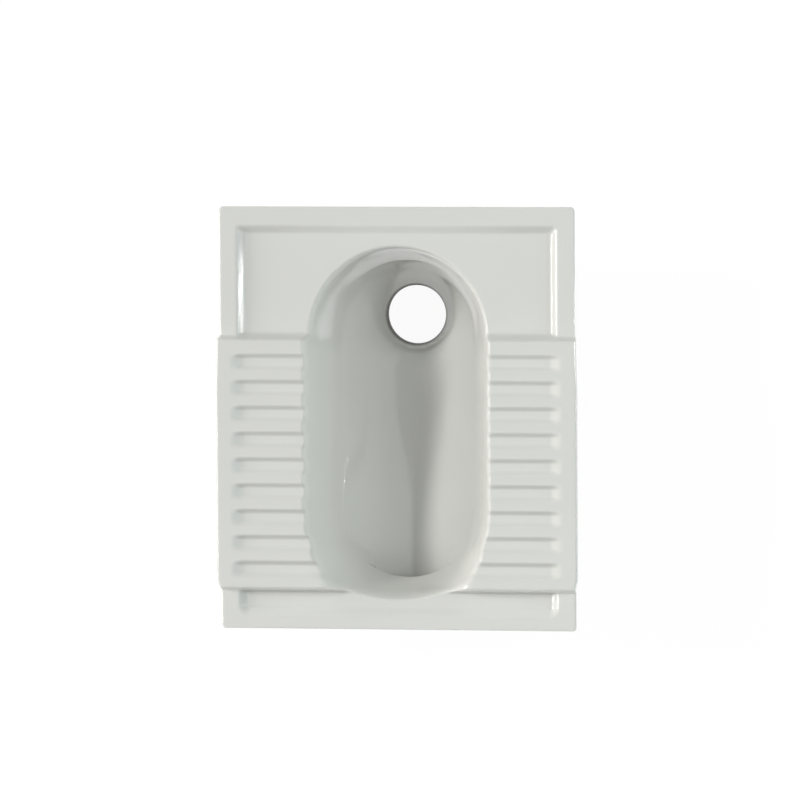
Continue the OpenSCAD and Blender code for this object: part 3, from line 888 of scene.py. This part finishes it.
def rim_outside(size, form, shell, crease, cos, sin, centre):
    """The rim wall's outside, down to the joint. Returns its row at the ceiling."""
    top = size.ceiling_z
    taper = 1 / form.wall_slope
    rows = []
    for z, more in ((top, 0.006), (top - 0.001, 0.0025), (top - 0.0035, 0.0008), (top - 0.008, 0.0),
                    (0.14, 0.0), (0.12, 0.0), (size.crease_z + 0.001, 0.0),
                    (size.crease_z, -0.0005)):
        reach = size.crease + (z - size.crease_z) * taper + size.wall + more
        rows.append(shell.put(reach * cos, reach * sin + centre, z))
    joint = shell.put(size.crease * cos, size.crease * sin + centre, size.crease_z)
    shell.chain(rows + [joint, crease])
    return rows[0]


def footrest_pocket(size, shell, side):
    """The pocket under one footrest. Returns its row at the ceiling."""
    near, far, front, back = 0.131, 0.188, -0.189, 0.082
    half_x, half_y = (far - near) / 2, (back - front) / 2
    outline = rounded([(near, front), (far, front), (far, back), (near, back)], 0.012, 6)
    px, py = np.array(outline).T
    mid_x, mid_y = px.mean(), (py.min() + py.max()) / 2
    top = size.ceiling_z
    rows = [shell.put(side * (px + (mid_x - px) * inset / half_x),
                      py + (mid_y - py) * inset / half_y, top + z)
            for z, inset in ((0.0, 0.0), (0.0015, 0.0006), (0.009, 0.0009), (0.0122, 0.0022),
                             (size.pocket_z - top, 0.006))]
    shell.close(shell.chain(rows))
    return rows[0]


def make_deck(size, finish):
    """The upper casting, from the crease over the lip to the skirt and its underside."""
    form = GlazeSurface(size)
    shell = Shell()
    corner_step = 0.0105
    around = stations(size, corner_step)
    crease, border, top_share = deck_top(size, form, shell, *around)
    ceiling = [deck_skirt(size, shell, border), rim_outside(size, form, shell, crease, *around)]
    ceiling += [footrest_pocket(size, shell, side) for side in (1, -1)]
    shell.fill(np.concatenate(ceiling), ring_edges(*ceiling))
    share = np.zeros(len(shell.points), np.float32)
    share[:len(top_share)] = top_share
    deck = shell.build("deck_casting", values={"groove_share": share})
    china = shared_material("china_glaze", finish)
    run_tree(deck, groove_tree(), {
        "First": size.groove_first, "Pitch": size.groove_pitch, "Depth": size.groove_depth,
        "Top width": size.groove_top, "Floor width": size.groove_floor,
        "Outer end": size.groove_end, "End run": size.groove_run,
        "Last number": float(size.groove_count - 1), "Material": china,
    })
    deck.data.attributes.remove(deck.data.attributes["groove_share"])
    shade(deck, 40, [(lambda a, b: form.upper(a, b, size.tread_z),
                      lambda a, b: form.run(a, b) < 0.101, 0.00005)])
    mark_points(deck, "glazed", lambda p, n: 1 - ease((-n[:, 2] - 0.3) / 0.3))
    finish_piece(deck, "glazed_china", china, "deck")


# ---------------------------------------------------------------- the bowl

RING_STEPS = 160
MERGE = 1e-7


def painted_neck_shade(size, shell, radius, height):
    """A ring round the drain, at one height or on the surface of a height rule."""
    turn = np.linspace(0, 2 * math.pi, RING_STEPS, endpoint=False)
    x, y = radius * np.cos(turn), radius * np.sin(turn) + size.drain_y
    return shell.put(x, y, height(x, y) if callable(height) else height)


def grid_points(*lines):
    """All crossings of two sets of lines."""
    x, y = np.meshgrid(*lines)
    return x.ravel(), y.ravel()


def bowl_cutter(size, form, cos, sin, centre):
    """Everything above the bowl's inside, and the way down the drain."""
    cut = Shell()
    slot = size.slot_half
    in_slot = (np.abs(size.crease * cos) < slot) & (sin < 0) & (centre <= size.spine_front + 1e-9)
    reach = np.where(in_slot, size.chamber, size.crease)
    rx, ry = reach * cos, reach * sin + centre
    beside = in_slot & (np.abs(rx) > slot)
    rx = np.where(beside, np.sign(rx) * slot, rx)
    ry = np.where(beside, centre - np.sqrt(np.maximum(reach ** 2 - rx ** 2, 0)), ry)
    apart = np.hypot(rx - np.roll(rx, 1), ry - np.roll(ry, 1)) >= 1e-6
    rx, ry, middle, in_slot = rx[apart], ry[apart], centre[apart], in_slot[apart]
    rim = cut.put(rx, ry, form.inside(rx, ry))

    radii = spaced(size.neck, (0.052, 0.0008))
    drain = [painted_neck_shade(size, cut, r, form.inside) for r in radii]
    cut.points[drain[0], 2] = size.neck_z
    cut.chain(drain)

    # Points between the rim and the drain: a grid, and rows along the crease
    x, y = grid_points(spaced(-0.088, (-0.012, 0.0023), (-0.004, 0.0013), (0.004, 0.0008),
                              (0.012, 0.0013), (0.088, 0.0023)), spaced(-0.206, (0.184, 0.0023)))
    run = form.run(x, y)
    edge = size.crease - 0.0085
    ok = (run < edge) & (np.hypot(x, y - size.drain_y) > radii[-1] + 0.0012)
    ok |= ((np.abs(x) < slot - 0.001) & (y < size.spine_front) & (run > edge)
           & (run < size.chamber - 0.001))
    px, py = [x[ok]], [y[ok]]
    for back_off in (0.0005, 0.0011, 0.0018, 0.0027, 0.0038, 0.0052, 0.007):
        x, y = (size.crease - back_off) * cos, (size.crease - back_off) * sin + centre
        ok = np.hypot(x, y - size.drain_y) > radii[-1] + 0.001
        px.append(x[ok])
        py.append(y[ok])
    px, py = np.concatenate(px), np.concatenate(py)
    inner = cut.put(px, py, form.inside(px, py))
    cut.fill(np.concatenate([rim, inner, drain[-1]]), ring_edges(rim, drain[-1]))

    neck, bore, end = size.neck, size.bore, size.neck_end
    way = [painted_neck_shade(size, cut, radius, z) for radius, z in (
        (neck, end + 0.001), (neck + 0.001, end), (bore - 0.002, end - 0.0005),
        (bore, end - 0.0025), (bore, 0.001), (bore + 0.001, 0.0), (bore + 0.001, -0.01))]
    cut.close(cut.chain(drain[:1] + way))

    lid_z = 0.13
    away = np.where(in_slot, 1.0, (size.crease + 0.003) / size.crease)
    wx, wy = rx * away, (ry - middle) * away + middle
    outside, lid = (cut.put(wx, wy, z) for z in (cut.points[rim, 2], lid_z))
    cut.close(cut.chain([rim, outside, lid]))
    return cut.build("cutter", MERGE)


def bowl_tub(size, form, under, cos, sin, centre):
    """The outside of the tub with the spigot, flat on top at the joint."""
    tub = Shell()
    radius = size.crease + size.wall
    half = size.slot_half + size.wall
    front_y = -size.chamber_front
    side_y = size.spine_front - math.sqrt(radius ** 2 - half ** 2)
    flat_z = size.crease_z - 0.002

    # The outline: the round tub, with the water chamber's box at its flush end
    ox, oy = radius * cos, radius * sin + centre
    at_box = (np.abs(ox) < half) & (sin < 0) & (centre <= size.spine_front + 1e-9)
    start, end = np.flatnonzero(at_box)[[0, -1]]
    box = rounded([(-half, side_y - 0.001), (-half, front_y), (half, front_y),
                   (half, side_y - 0.001)], 0.006, 5)
    box = [p for p in box if p[1] < side_y - 0.004]
    box = [(-half, side_y - 0.002)] + box + [(half, side_y - 0.002)]
    tub_line = list(zip(ox, oy))
    lx, ly = np.array(tub_line[:start] + box + tub_line[end + 1:]).T
    lower = tub.put(lx, ly, np.minimum(under(lx, ly), flat_z))
    upper = tub.put(lx, ly, size.crease_z)
    tub.chain([upper, lower])
    tub.close(upper)

    rings = [painted_neck_shade(size, tub, r, under) for r in spaced(size.seat, (0.066, 0.0012))]
    tub.chain(rings)
    x, y = grid_points(spaced(-0.1, (0.1, 0.0035)), spaced(-0.215, (0.2, 0.0035)))
    in_box = (np.abs(x) < half - 0.002) & (y > front_y + 0.007) & (y < -0.15)
    ok = ((form.run(x, y) < radius - 0.002) | in_box) & (np.hypot(x, y - size.drain_y) > 0.068)
    inner = tub.put(x[ok], y[ok], np.minimum(under(x[ok], y[ok]), flat_z))
    tub.fill(np.concatenate([lower, inner, rings[-1]]), ring_edges(lower, rings[-1]))

    seat, spigot, foot_z = size.seat, size.spigot, SEAL_LOW.z
    way = [painted_neck_shade(size, tub, r, z) for r, z in (
        (seat, SEAL_HIGH.z), (seat, foot_z + 0.0008), (seat - 0.0008, foot_z),
        (spigot + 0.0005, foot_z), (spigot, foot_z - 0.0006), (spigot, 0.0018),
        (spigot - 0.0005, 0.0005), (spigot - 0.0018, 0.0))]
    tub.close(tub.chain(rings[:1] + way))
    return tub.build("bowl_casting", MERGE)


def make_bowl(size, finish):
    """The lower casting: trough, water chamber, funnel, spigot and feet."""
    form = GlazeSurface(size)
    cos, sin, centre = stations(size)

    def under(x, y):
        """The tub's outside with a rounded foot where the spigot starts."""
        down = np.hypot(x, y - size.drain_y) - size.seat
        return soft_min(form.bed(x, y, size.wall), SEAL_HIGH.z + 0.0002 + 5.0 * down, 0.008)

    cutter = bowl_cutter(size, form, cos, sin, centre)
    bowl = bowl_tub(size, form, under, cos, sin, centre)
    # The plug fills the joint's mouth, so that only the cutter shapes the crease
    plug = Shell()
    plug.tube([plug.put(size.crease * cos, size.crease * sin + centre, z) for z in (0.095, 0.1275)])
    tools = [plug.build("plug", MERGE)]
    foot_x, foot_y = 0.022, 0.012
    outline = [(-foot_x, -foot_y), (foot_x, -foot_y), (foot_x, foot_y), (-foot_x, foot_y)]
    fx, fy = np.array(rounded(outline, 0.011, 8)).T
    for mirror in (-1, 1):
        foot = Shell()
        rows = [foot.put(mirror * size.foot_spread / 2 + fx * share, size.foot_y + fy * share, z)
                for share, z in ((0.90, 0.0), (0.965, 0.0008), (1.0, 0.003), (1.0, 0.05),
                                 (1.06, 0.075), (1.1, 0.092))]
        foot.close(rows[0])
        foot.close(foot.chain(rows))
        tools.append(foot.build("foot", MERGE))
    combine(bowl, tools, "UNION")
    way_in = spin("way_in", [(0.0, -0.05), (0.015, -0.05), (0.015, 0.05), (0.0, 0.05)], "Y",
                  (0, -size.chamber_front, (INLET_LOW.z + INLET_HIGH.z) / 2), 64)
    combine(bowl, [cutter, way_in], "DIFFERENCE")
    shade(bowl, 35, [(form.inside, lambda a, b: form.run(a, b) < size.crease + 0.0085, 0.00006),
                     (under, lambda a, b: form.run(a, b) < 0.1, 0.00006)])

    def glazed(p, n):
        """Glazed inside; outside bare at the spigot's end and where it faces down."""
        x, y, z = p.astype(float).T
        inside = (form.run(x, y) < size.chamber + 0.001) & (np.abs(form.inside(x, y) - z) < 0.0005)
        outside = ease((z - 0.022) / 0.01) * (1 - ease((-n[:, 2] - 0.95) / 0.05))
        return np.where(inside, 1.0, outside)

    def drain_shade(p, n):
        """Painted shade: a dark ring at the neck's upper edge, where the drain falls into shadow.
        """
        reach = np.hypot(p[:, 0], p[:, 1] - size.drain_y)
        return ease((size.neck + 0.0036 - reach) / 0.0028) * (p[:, 2] > size.neck_end - 0.001)

    mark_points(bowl, "glazed", glazed)
    # The drain's neck gets painted shade, a darker glaze colour that stands in for shadow.
    mark_points(bowl, "painted_neck_shade", drain_shade)
    finish_piece(bowl, "glazed_china", shared_material("china_glaze", finish), "bowl")


def make_inlet(finish):
    """The short cast pipe on the water chamber."""
    z = (INLET_LOW.z + INLET_HIGH.z) / 2
    root, end = INLET_HIGH.y, INLET_LOW.y
    collar = (INLET_HIGH.z - INLET_LOW.z) / 2
    bore, pipe = 0.015, 0.024
    profile = past(root, (bore, 0.0), (collar, 0.0), (collar - 0.0004, -0.0016))
    for a in (90, 70, 50, 30, 12):
        profile.append((pipe + 0.0036 * (1 - math.sin(math.radians(90 - a))),
                        root - 0.0016 - 0.0042 * math.cos(math.radians(a))))
    profile += past(root, (pipe, -0.0062))
    profile += past(end, (pipe, 0.0012), (0.0236, 0.0004), (0.0228, 0.0), (0.0162, 0.0),
                    (0.0154, 0.0004), (bore, 0.0012))
    inlet = spin("flush_inlet_casting", profile, "Y", (0, 0, z), 96, 40)
    mark_points(inlet, "glazed", lambda p, n: ease((p[:, 1] - end - 0.001) / 0.003))
    finish_piece(inlet, "glazed_china", shared_material("china_glaze", finish), "flush_inlet")


# ---------------------------------------------------------------- the fittings


def make_cup(finish):
    """The rubber cup on the inlet, with moulded rings on its sleeve and neck."""
    z = (CUP_LOW.z + CUP_HIGH.z) / 2
    back, end, face = CUP_HIGH.y, CUP_LOW.y, INLET_LOW.y
    profile = past(back, (0.0241, 0.0), (0.0302, 0.0), (0.0306, -0.0005), (0.0306, -0.0011),
                   (0.0302, -0.0015), (0.0291, -0.0018))
    profile += past(face, (0.0291, -0.0002), (0.0288, -0.0012), (0.0279, -0.0024),
                    (0.0262, -0.0034), (0.0232, -0.0043), (0.0212, -0.0054), (0.0203, -0.0068))
    ring = face - 0.0082
    while ring > end + 0.0045:
        profile += past(ring, (0.0201, 0.0006), (0.0207, 0.0), (0.0207, -0.0005),
                        (0.0201, -0.0011))
        ring -= 0.0024
    profile += past(end, (0.0201, 0.0031), (0.0208, 0.0027), (0.0215, 0.0021), (0.0215, 0.0006),
                    (0.0209, 0.0), (0.0166, 0.0), (0.0161, 0.0005), (0.016, 0.0014))
    profile += past(face, (0.016, -0.0008), (0.0166, -0.0001), (0.0241, -0.0001))
    cup = spin("flush_cup_rubber", profile, "Y", (0, 0, z), 96, 35)
    finish_piece(cup, "black_rubber", shared_material("moulded_rubber", finish), "inlet_cup")


def make_seal(size, finish):
    """The rubber ring on the spigot, with two soft lips."""
    low, high = SEAL_LOW.z, SEAL_HIGH.z
    tall, out = high - low, (SEAL_HIGH.x - SEAL_LOW.x) / 2
    inner = size.seat + 0.0001
    mid = (inner + out) / 2
    profile = [(inner, low), (mid - 0.0006, low), (mid + 0.0006, low + 0.0006)]
    for start in (0.0, 0.5):
        profile += [(radius, low + tall * start + tall * share) for radius, share in (
            (mid + 0.0012, 0.07), (out - 0.0011, 0.22), (out - 0.0002, 0.27), (out, 0.3),
            (out - 0.0004, 0.335), (out - 0.0013, 0.345), (mid + 0.0008, 0.375), (mid, 0.41),
            (mid, 0.46))]
    profile += [(mid - 0.0004, high - 0.0004), (mid - 0.0012, high), (inner, high)]
    seal = spin("drain_seal_rubber", profile, "Z", (0, size.drain_y, 0), 128, 35)
    finish_piece(seal, "black_rubber", shared_material("moulded_rubber", finish), "outlet_seal")


def make_band(finish):
    """The clip's steel band, with the slots that its screw runs in."""
    out_r = (BAND_HIGH.x - BAND_LOW.x) / 2
    z, y = (BAND_LOW.z + BAND_HIGH.z) / 2, (BAND_LOW.y + BAND_HIGH.y) / 2
    steel = shared_material("band_steel", finish)
    band = place_object("clip_band_steel", bpy.data.meshes.new("clip_band_steel"))
    run_tree(band, band_tree(), {
        "Radius": out_r - 0.0004, "Thickness": 0.00078, "Width": BAND_HIGH.y - BAND_LOW.y - 0.0001,
        "Slot length": 0.0052, "Slot width": 0.0011, "Slant": 0.16, "Slot arc": 2.6,
        "Slots": 28, "Material": steel,
    })
    band.data.transform(Matrix.Translation((0, y, z)) @ Matrix.Rotation(math.pi / 2, 4, "X")
                        @ Matrix.Rotation(math.radians(25), 4, "Z"))
    shade(band, 35)
    finish_piece(band, "stainless_steel", steel, "clip_band")


def make_housing(finish):
    """The pressed housing over the screw, with a rounded back and open ends."""
    low, high = HOUSING_LOW, HOUSING_HIGH
    y, z = (low.y + high.y) / 2, (SCREW_LOW.z + SCREW_HIGH.z) / 2
    half, top, bore = (high.y - low.y) / 2, high.z - z, 0.0033
    arch = [math.radians(a) for a in range(15, 180, 15)]
    oy = np.array([-half, -half] + [-half * math.cos(a) for a in arch] + [half, half])
    oz = np.array([0.0, 0.0] + [top * math.sin(a) for a in arch] + [0.0, 0.0])
    band_r, axis_z = (BAND_HIGH.x - BAND_LOW.x) / 2, (BAND_LOW.z + BAND_HIGH.z) / 2
    end_run = 0.0008
    shell = Shell()
    rows = []
    for x in spaced(low.x, (low.x + end_run, 0.0002), (high.x - end_run, 0.0012),
                    (high.x, 0.0002)):
        tuck = 0.00045 * (1 - min(1, min(x - low.x, high.x - x) / end_run)) ** 2
        oz[[0, -1]] = axis_z + math.sqrt(band_r ** 2 - x ** 2) - z + 0.00005
        scale = 1 - tuck / half
        rows.append(shell.put(x, y + oy * scale, z + np.where(oz > 0, oz * scale, oz)))
    shell.tube(rows)
    housing = shell.build("clip_housing_steel")
    start, end = low.x - 0.002, high.x + 0.002
    way = spin("way", [(0.0, start), (bore, start), (bore, end), (0.0, end)], "X", (0, y, z), 40)
    combine(housing, [way], "DIFFERENCE")
    shade(housing, 35)
    steel = shared_material("clip_steel", finish)
    finish_piece(housing, "stainless_steel", steel, "clip_housing")


def make_screw(finish):
    """The clip's screw: threaded shank, collar and slotted six-sided head."""
    y, z = (SCREW_LOW.y + SCREW_HIGH.y) / 2, (SCREW_LOW.z + SCREW_HIGH.z) / 2
    start, end = SCREW_LOW.x, SCREW_HIGH.x
    head = end - 0.005
    profile = past(start, (0.0, 0.0), (0.0019, 0.0), (0.0024, 0.0005))
    profile += past(head, (0.0024, -0.0012), (0.0029, -0.0008), (0.0029, 0.0), (0.0, 0.0))
    core = spin("clip_screw_steel", profile, "X", (0, y, z), 48)

    # The head: a round flange under a six-sided cap, with a slot across it
    cap = Shell()
    wide, sixth = 0.0044, math.radians(60)
    ring = np.radians(np.arange(0, 360, 15))
    flat = wide * math.cos(sixth / 2) / np.cos((ring + sixth / 2) % sixth - sixth / 2)
    sided = np.minimum(flat, wide)
    cap.tube([cap.put(x, y + reach * np.cos(ring), z + reach * np.sin(ring)) for reach, x in (
        (wide, head + 0.0002), (wide, head + 0.0012), (sided, head + 0.00121),
        (sided, end - 0.0006), (0.0037, end))])
    slot = Shell()
    gy, gz = 0.0006, 0.006
    slot.tube([slot.put(x, y + np.array([-gy, gy, gy, -gy]), z + np.array([-gz, -gz, gz, gz]))
               for x in (head + 0.0028, end + 0.001)])
    combine(core, [cap.build("head")], "UNION")
    combine(core, [slot.build("groove")], "DIFFERENCE")
    steel = shared_material("clip_steel", finish)
    run_tree(core, thread_tree(), {
        "Radius": 0.0025, "Length": head - start - 0.0028, "Turns": 6.5, "Ridge": 0.00045,
        "Start": (start + 0.0008, y, z), "Material": steel})
    shade(core, 35)
    finish_piece(core, "stainless_steel", steel, "clip_screw")


# ---------------------------------------------------------------- the stage

WHITE = (1.0, 1.0, 1.0)
CREAM = (1.0, 0.985, 0.96)

# Name, place, what it points at, width, height, brightness, colour, and which kind of
# reflection the lamp is left out of
LAMPS = (
    ("key", (-7.87, 2.87, 7.32), (0, 0, 0.15), 3.75, 1.25, 39.4, (1.0, 0.99, 0.965), "glossy"),
    ("window", (-2.2, -0.18, 0.68), (0, -0.18, 0.68), 0.66, 0.36, 24.0, WHITE, "diffuse"),
    ("softbox", (2.3, 0.6, 2.3), (0, 0, 0.1), 2.4, 3.2, 1.27, (0.92, 1.0, 1.0), "glossy"),
    ("sheen", (1.55, 0.0, 2.29), (1.55, 0, 0), 2.4, 3.5, 0.9, (0.88, 1.0, 0.98), "diffuse"),
    ("wall", (2.4, 0.0, 1.2), (0, 0, 1.2), 2.4, 2.0, 1.5, (0.90, 1.0, 1.0), "glossy"),
    ("side", (-9.0, 0.1, 3.04), (0, 0.1, 3.04), 7.5, 3.75, 5.8, CREAM, "glossy"),
    ("front_panel", (-0.2, -0.85, 2.3), (-0.2, -0.85, 0), 1.4, 1.1, 0.4, WHITE, None),
    ("low_front", (0.0, -2.6, 0.3), (0, 0, 0.2), 1.6, 0.2, 15.0, WHITE, "glossy"),
)

# Bright panes that only show as glints: place along the pan, how high they stand, and
# their width and height
PANE_X, PANE_BRIGHTNESS = 2.0, 80.0
PANES = ((-0.036, 0.66, 0.006, 1.2), (-0.002, 0.66, 0.006, 1.2), (0.032, 0.66, 0.006, 1.2),
         (-0.171, 1.17, 0.03, 0.24), (-0.289, 1.17, 0.016, 0.24))


def lamp(name, place, towards, width, tall, radiance, tone, hidden):
    """A rectangular lamp with a set brightness, pointed at a place."""
    data = bpy.data.lights.new(name, "AREA")
    data.shape = "RECTANGLE"
    data.size, data.size_y = width, tall
    data.energy = radiance * math.pi * width * tall
    data.color = tone
    thing = place_object(name, data)
    thing.location = place
    thing.rotation_euler = (Vector(place) - Vector(towards)).to_track_quat("Z", "Y").to_euler()
    thing.visible_camera = False
    if hidden:
        setattr(thing, "visible_" + hidden, False)


def mix_by_ray(owner, kind, rays, plain_node, seen_node, share=None):
    """The plain shader, and for the named kinds of ray the other, or a share of it."""
    wire = empty_tree(owner)
    path = wire.node("ShaderNodeLightPath").socket.node
    seen, *others = [Wire(wire.tree, path.outputs[f"Is {ray} Ray"]) for ray in rays]
    for other in others:
        seen = wire.math("MAXIMUM", other, seen)
    if share:
        seen = seen * share
    both = wire.node("ShaderNodeMixShader", {
        0: seen, 1: wire.node(*plain_node), 2: wire.node(*seen_node)})
    wire.node("ShaderNodeOutput" + kind, {"Surface": both})


def make_floor():
    """The white floor, which keeps the pan's shadow and stays white in its reflections."""
    reach = 4
    mesh = bpy.data.meshes.new("floor")
    mesh.from_pydata([(-reach, -reach, 0), (reach, -reach, 0), (reach, reach, 0),
                      (-reach, reach, 0)], [], [(0, 1, 2, 3)])
    floor = place_object("floor", mesh)
    material = bpy.data.materials.new("floor")
    mix_by_ray(material, "Material", ("Transmission", "Glossy", "Camera"),
               ("ShaderNodeBsdfDiffuse", {"Color": (0.86, 0.86, 0.86, 1)}),
               ("ShaderNodeEmission", {"Color": (1, 1, 1, 1), "Strength": 1.04}), 0.9)
    mesh.materials.append(material)


def make_world():
    """Even light all round, and a white backdrop for the camera."""
    world = bpy.data.worlds.new("studio")
    bpy.context.scene.world = world
    mix_by_ray(world, "World", ("Transmission", "Camera"),
               ("ShaderNodeBackground", {"Color": (1.0, 0.985, 0.97, 1), "Strength": 0.23}),
               ("ShaderNodeBackground", {"Color": (1, 1, 1, 1), "Strength": 1.0}))


def make_camera(stage):
    """The camera at the photograph's angle."""
    camera = bpy.data.cameras.new("camera")
    camera.lens = stage.lens
    camera.sensor_width = 36.0
    camera.clip_end = 50.0
    thing = place_object("camera", camera)
    tilts = (math.tan(math.radians(tilt)) for tilt in (stage.tilt_x, stage.tilt_y))
    back = Vector((*tilts, 1.0)).normalized()
    right = Vector((0, 1, 0)).cross(back).normalized()
    up = back.cross(right)
    turn = Matrix.Rotation(math.radians(stage.turn), 4, "Z")
    turn = Matrix((right, up, back)).transposed().to_4x4() @ turn
    deck_z = 0.195
    aim = Vector((stage.aim_x, stage.aim_y, deck_z))
    thing.matrix_world = Matrix.Translation(aim + back * stage.distance) @ turn
    bpy.context.scene.camera = thing


def make_stage(stage):
    """Floor, backdrop light, lamps and the camera."""
    bpy.context.scene.view_settings.view_transform = "Standard"
    make_floor()
    make_world()
    for row in LAMPS:
        lamp(*row)
    for y, z, wide, tall in PANES:
        lamp("pane", (PANE_X, y, z), (0.0, y, z), wide, tall, PANE_BRIGHTNESS, WHITE, "diffuse")
    make_camera(stage)


# ---------------------------------------------------------------- operators and panel


class PAN_OT_deck(bpy.types.Operator):
    """Build the deck with its footrests, lip and skirt"""

    bl_idname = "pan.deck"
    bl_label = "Deck casting"

    def execute(self, context):
        make_deck(context.scene.pan_sizes, context.scene.pan_finish)
        return {"FINISHED"}


class PAN_OT_bowl(bpy.types.Operator):
    """Build the bowl with its trough, drain, spigot and feet"""

    bl_idname = "pan.bowl"
    bl_label = "Bowl casting"

    def execute(self, context):
        make_bowl(context.scene.pan_sizes, context.scene.pan_finish)
        return {"FINISHED"}


class PAN_OT_inlet(bpy.types.Operator):
    """Build the cast flush inlet"""

    bl_idname = "pan.inlet"
    bl_label = "Flush inlet"

    def execute(self, context):
        make_inlet(context.scene.pan_finish)
        return {"FINISHED"}


class PAN_OT_rubber(bpy.types.Operator):
    """Build the rubber cup and the drain seal"""

    bl_idname = "pan.rubber"
    bl_label = "Rubber cup and seal"

    def execute(self, context):
        make_cup(context.scene.pan_finish)
        make_seal(context.scene.pan_sizes, context.scene.pan_finish)
        return {"FINISHED"}


class PAN_OT_clip(bpy.types.Operator):
    """Build the clip's band, housing and screw"""

    bl_idname = "pan.clip"
    bl_label = "Hose clip"

    def execute(self, context):
        make_band(context.scene.pan_finish)
        make_housing(context.scene.pan_finish)
        make_screw(context.scene.pan_finish)
        return {"FINISHED"}


class PAN_OT_stage(bpy.types.Operator):
    """Set up the floor, the lamps and the camera"""

    bl_idname = "pan.stage"
    bl_label = "Stage"

    def execute(self, context):
        make_stage(context.scene.pan_stage)
        return {"FINISHED"}


STEPS = (PAN_OT_deck, PAN_OT_bowl, PAN_OT_inlet, PAN_OT_rubber, PAN_OT_clip, PAN_OT_stage)


class PAN_PT_panel(bpy.types.Panel):
    """Lists the steps and the sizes of the pan"""

    bl_idname = "PAN_PT_panel"
    bl_label = "Squat toilet pan"
    bl_space_type = "VIEW_3D"
    bl_region_type = "UI"
    bl_category = "Pan"

    def draw(self, context):
        for step in STEPS:
            self.layout.operator(step.bl_idname)
        for group in (context.scene.pan_sizes, context.scene.pan_finish, context.scene.pan_stage):
            box = self.layout.box()
            for key in group.__annotations__:
                box.prop(group, key)


CLASSES = (PanSizes, PanFinish, PanStage) + STEPS + (PAN_PT_panel,)


def register():
    for item in CLASSES:
        bpy.utils.register_class(item)
    bpy.types.Scene.pan_sizes = bpy.props.PointerProperty(type=PanSizes)
    bpy.types.Scene.pan_finish = bpy.props.PointerProperty(type=PanFinish)
    bpy.types.Scene.pan_stage = bpy.props.PointerProperty(type=PanStage)


def unregister():
    del bpy.types.Scene.pan_stage, bpy.types.Scene.pan_finish, bpy.types.Scene.pan_sizes
    for item in reversed(CLASSES):
        bpy.utils.unregister_class(item)


def main():
    """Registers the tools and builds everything."""
    register()
    bpy.ops.pan.stage()
    bpy.ops.pan.deck()
    bpy.ops.pan.bowl()
    bpy.ops.pan.inlet()
    bpy.ops.pan.rubber()
    bpy.ops.pan.clip()


if __name__ == "__main__":
    main()
